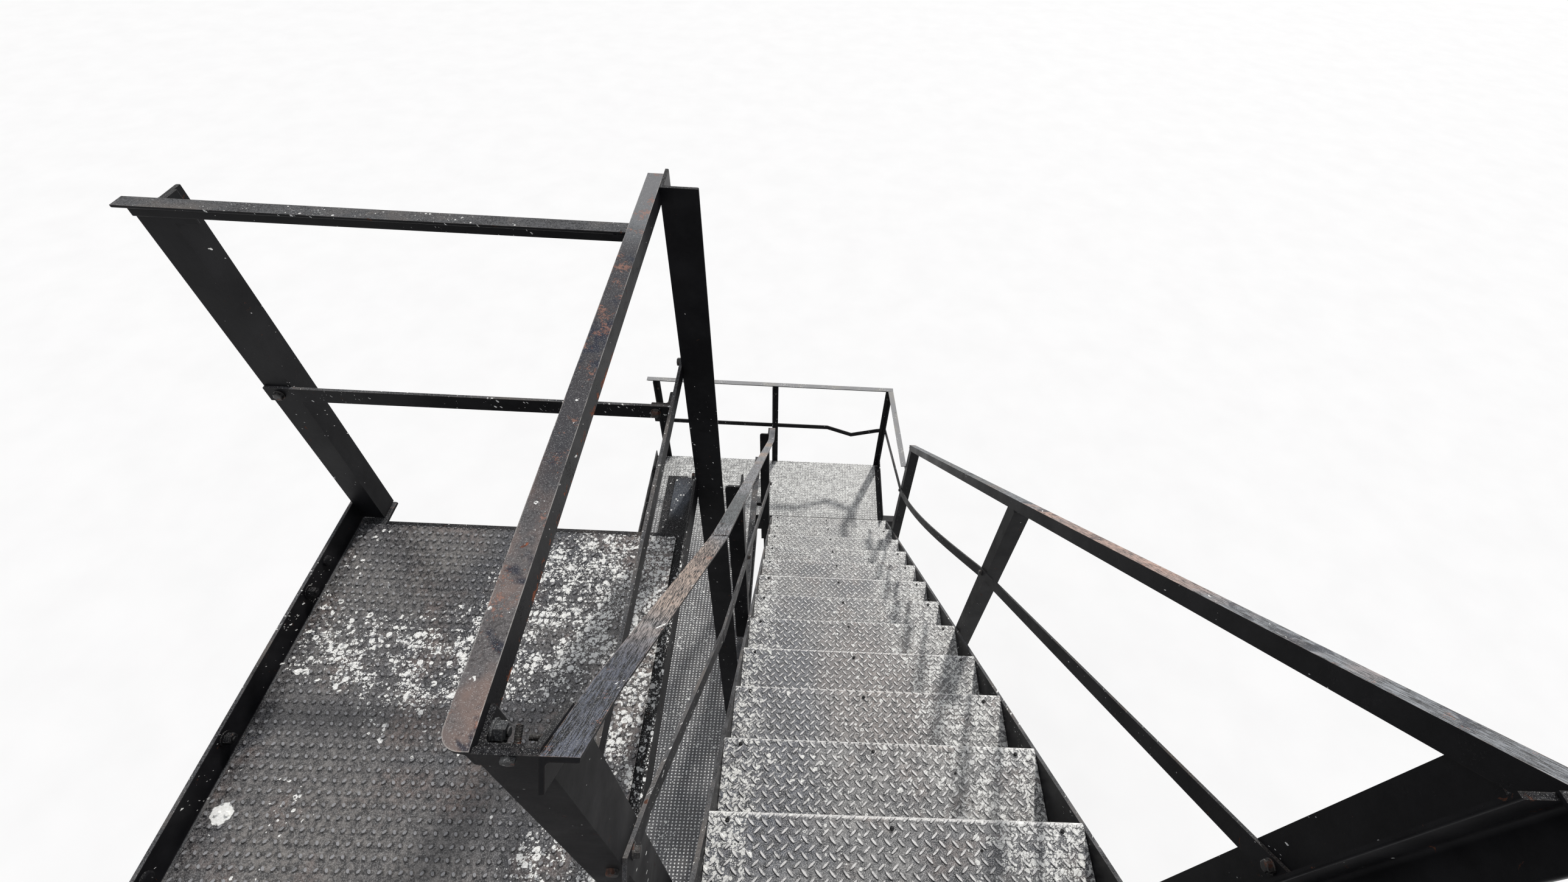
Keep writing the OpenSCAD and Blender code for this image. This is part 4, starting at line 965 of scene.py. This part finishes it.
jointTop = handrailTop(joint["y"])
jointWeld = weldLine((leftOut, joint["y"], jointTop), (joint["farX"], joint["y"], jointTop),
                     joint["step"])
welds = []
for x, posts in ((leftOut, post["upperLeft"]), (rightOut, post["upperRight"])):
    for y in posts:
        under = handrailTop(y) - seam["postDown"]
        welds += weldLine((x, y, under - seam["startDown"]),
                          (x, y + seam["length"], under - seam["endDown"]), seam["step"])
welds += weldLine((seam["plateX"], *seam["plateStart"]), (seam["plateX"], *seam["plateEnd"]),
                  seam["plateStep"])
for x, y in foot["centres"]:
    half, top = seam["footHalf"], footZ + foot["plate"]
    left = x - (half if x < stair["leftIn"] else seam["rightFootHalf"])
    start = (left, y - half, top)
    welds += weldLine(start, (left + 2 * half, y - half, top), seam["footStep"])
    welds += weldLine(start, (left, y + half, top), seam["footStep"])
for places, radius, name, finish in (
        (jointWeld, joint["bead"], "jointWeld", "slopedRailPaint"),
        (welds, seam["bead"], "weldBeads", "blackPaint")):
    bead = modelBead(radius)
    dress(placeCopies(bead, places, name), finish)
    remove(bead)
print("bolts, nuts, studs and", len(jointWeld) + len(welds), "weld beads")

# plain studio: floor and background look pale to the camera and to reflections, and the floor
# gives less light back to the stair
stage = {"size": 60.0, "below": 0.002, "seen": (0.96, 0.96, 0.955), "bounced": 0.35,
         "mottleScale": 1.5, "mottleBand": (0.3, 0.7, 0.97, 1.0), "rough": 0.9, "gloss": 0.1,
         "sky": (0.93, 0.95, 1.0), "worldStrength": 0.52, "sunColour": (1.0, 0.975, 0.94),
         "sunStrength": 2.75, "sunFrom": (0.315, 0.717, 0.616), "sunSoft": 3.5}


def straightRay(tree):
    rays = put(tree, "LightPath").outputs
    seen = maths(tree, "MAXIMUM", rays["Is Camera Ray"], rays["Is Glossy Ray"])
    return maths(tree, "MAXIMUM", seen, rays["Is Transmission Ray"])


def makeFloor():
    clearSelection()
    bpy.ops.mesh.primitive_plane_add(size=stage["size"], location=(0, 0, -stage["below"]))
    floor = bpy.context.object
    floor.name = "paleFloor"
    settle(floor)
    material, tree, shader = startMaterial("floorPaint")
    soft = noise(tree, objectPlace(tree), stage["mottleScale"], detail=2.0)
    soft = remap(tree, soft, *stage["mottleBand"])
    tone = vectorMaths(tree, "MULTIPLY", stage["seen"], soft)
    dim = vectorMaths(tree, "MULTIPLY", tone, (stage["bounced"],) * 3)
    mixed = put(tree, "Mix", {0: straightRay(tree)}, data_type="VECTOR")
    tree.links.new(dim, mixed.inputs[4])        # a Mix node's sockets 4, 5 and 1 are its vectors
    tree.links.new(tone, mixed.inputs[5])
    tree.links.new(mixed.outputs[1], shader.inputs["Base Color"])
    shader.inputs["Roughness"].default_value = stage["rough"]
    shader.inputs["Specular IOR Level"].default_value = stage["gloss"]
    floor.data.materials.append(material)


def makeLight():
    world = bpy.data.worlds.new("studio")
    bpy.context.scene.world = world
    world.use_nodes = True
    sky = world.node_tree
    back = sky.nodes["Background"]
    ray = straightRay(sky)
    sky.links.new(blendColours(sky, ray, stage["sky"], (1, 1, 1)), back.inputs["Color"])
    sky.links.new(remap(sky, ray, 0.0, 1.0, stage["worldStrength"], 1.0), back.inputs["Strength"])
    lamp = bpy.data.lights.new("studioKey", "SUN")
    lamp.energy = stage["sunStrength"]
    lamp.angle = math.radians(stage["sunSoft"])
    lamp.color = stage["sunColour"]
    key = bpy.data.objects.new("studioKey", lamp)
    key.rotation_euler = Vector(stage["sunFrom"]).to_track_quat("Z", "Y").to_euler()
    bpy.context.scene.collection.objects.link(key)


# a wide lens that looks down the upper flight
view = {"place": (0.20786, -1.08313, 7.02937), "turn": (0.711242, -0.047926, 0.018582),
        "lens": 15.7105, "sensor": 36, "shift": (-0.018157, 0.016475), "clip": (0.02, 100)}


def makeCamera():
    lens = bpy.data.cameras.new("photoView")
    lens.sensor_width = view["sensor"]
    lens.lens = view["lens"]
    lens.shift_x, lens.shift_y = view["shift"]
    lens.clip_start, lens.clip_end = view["clip"]
    camera = bpy.data.objects.new("photoView", lens)
    camera.location = view["place"]
    camera.rotation_euler = view["turn"]
    bpy.context.scene.collection.objects.link(camera)
    bpy.context.scene.camera = camera


makeFloor()
makeLight()
makeCamera()
bpy.context.scene.view_settings.view_transform = "Standard"
print("stage, light and camera")
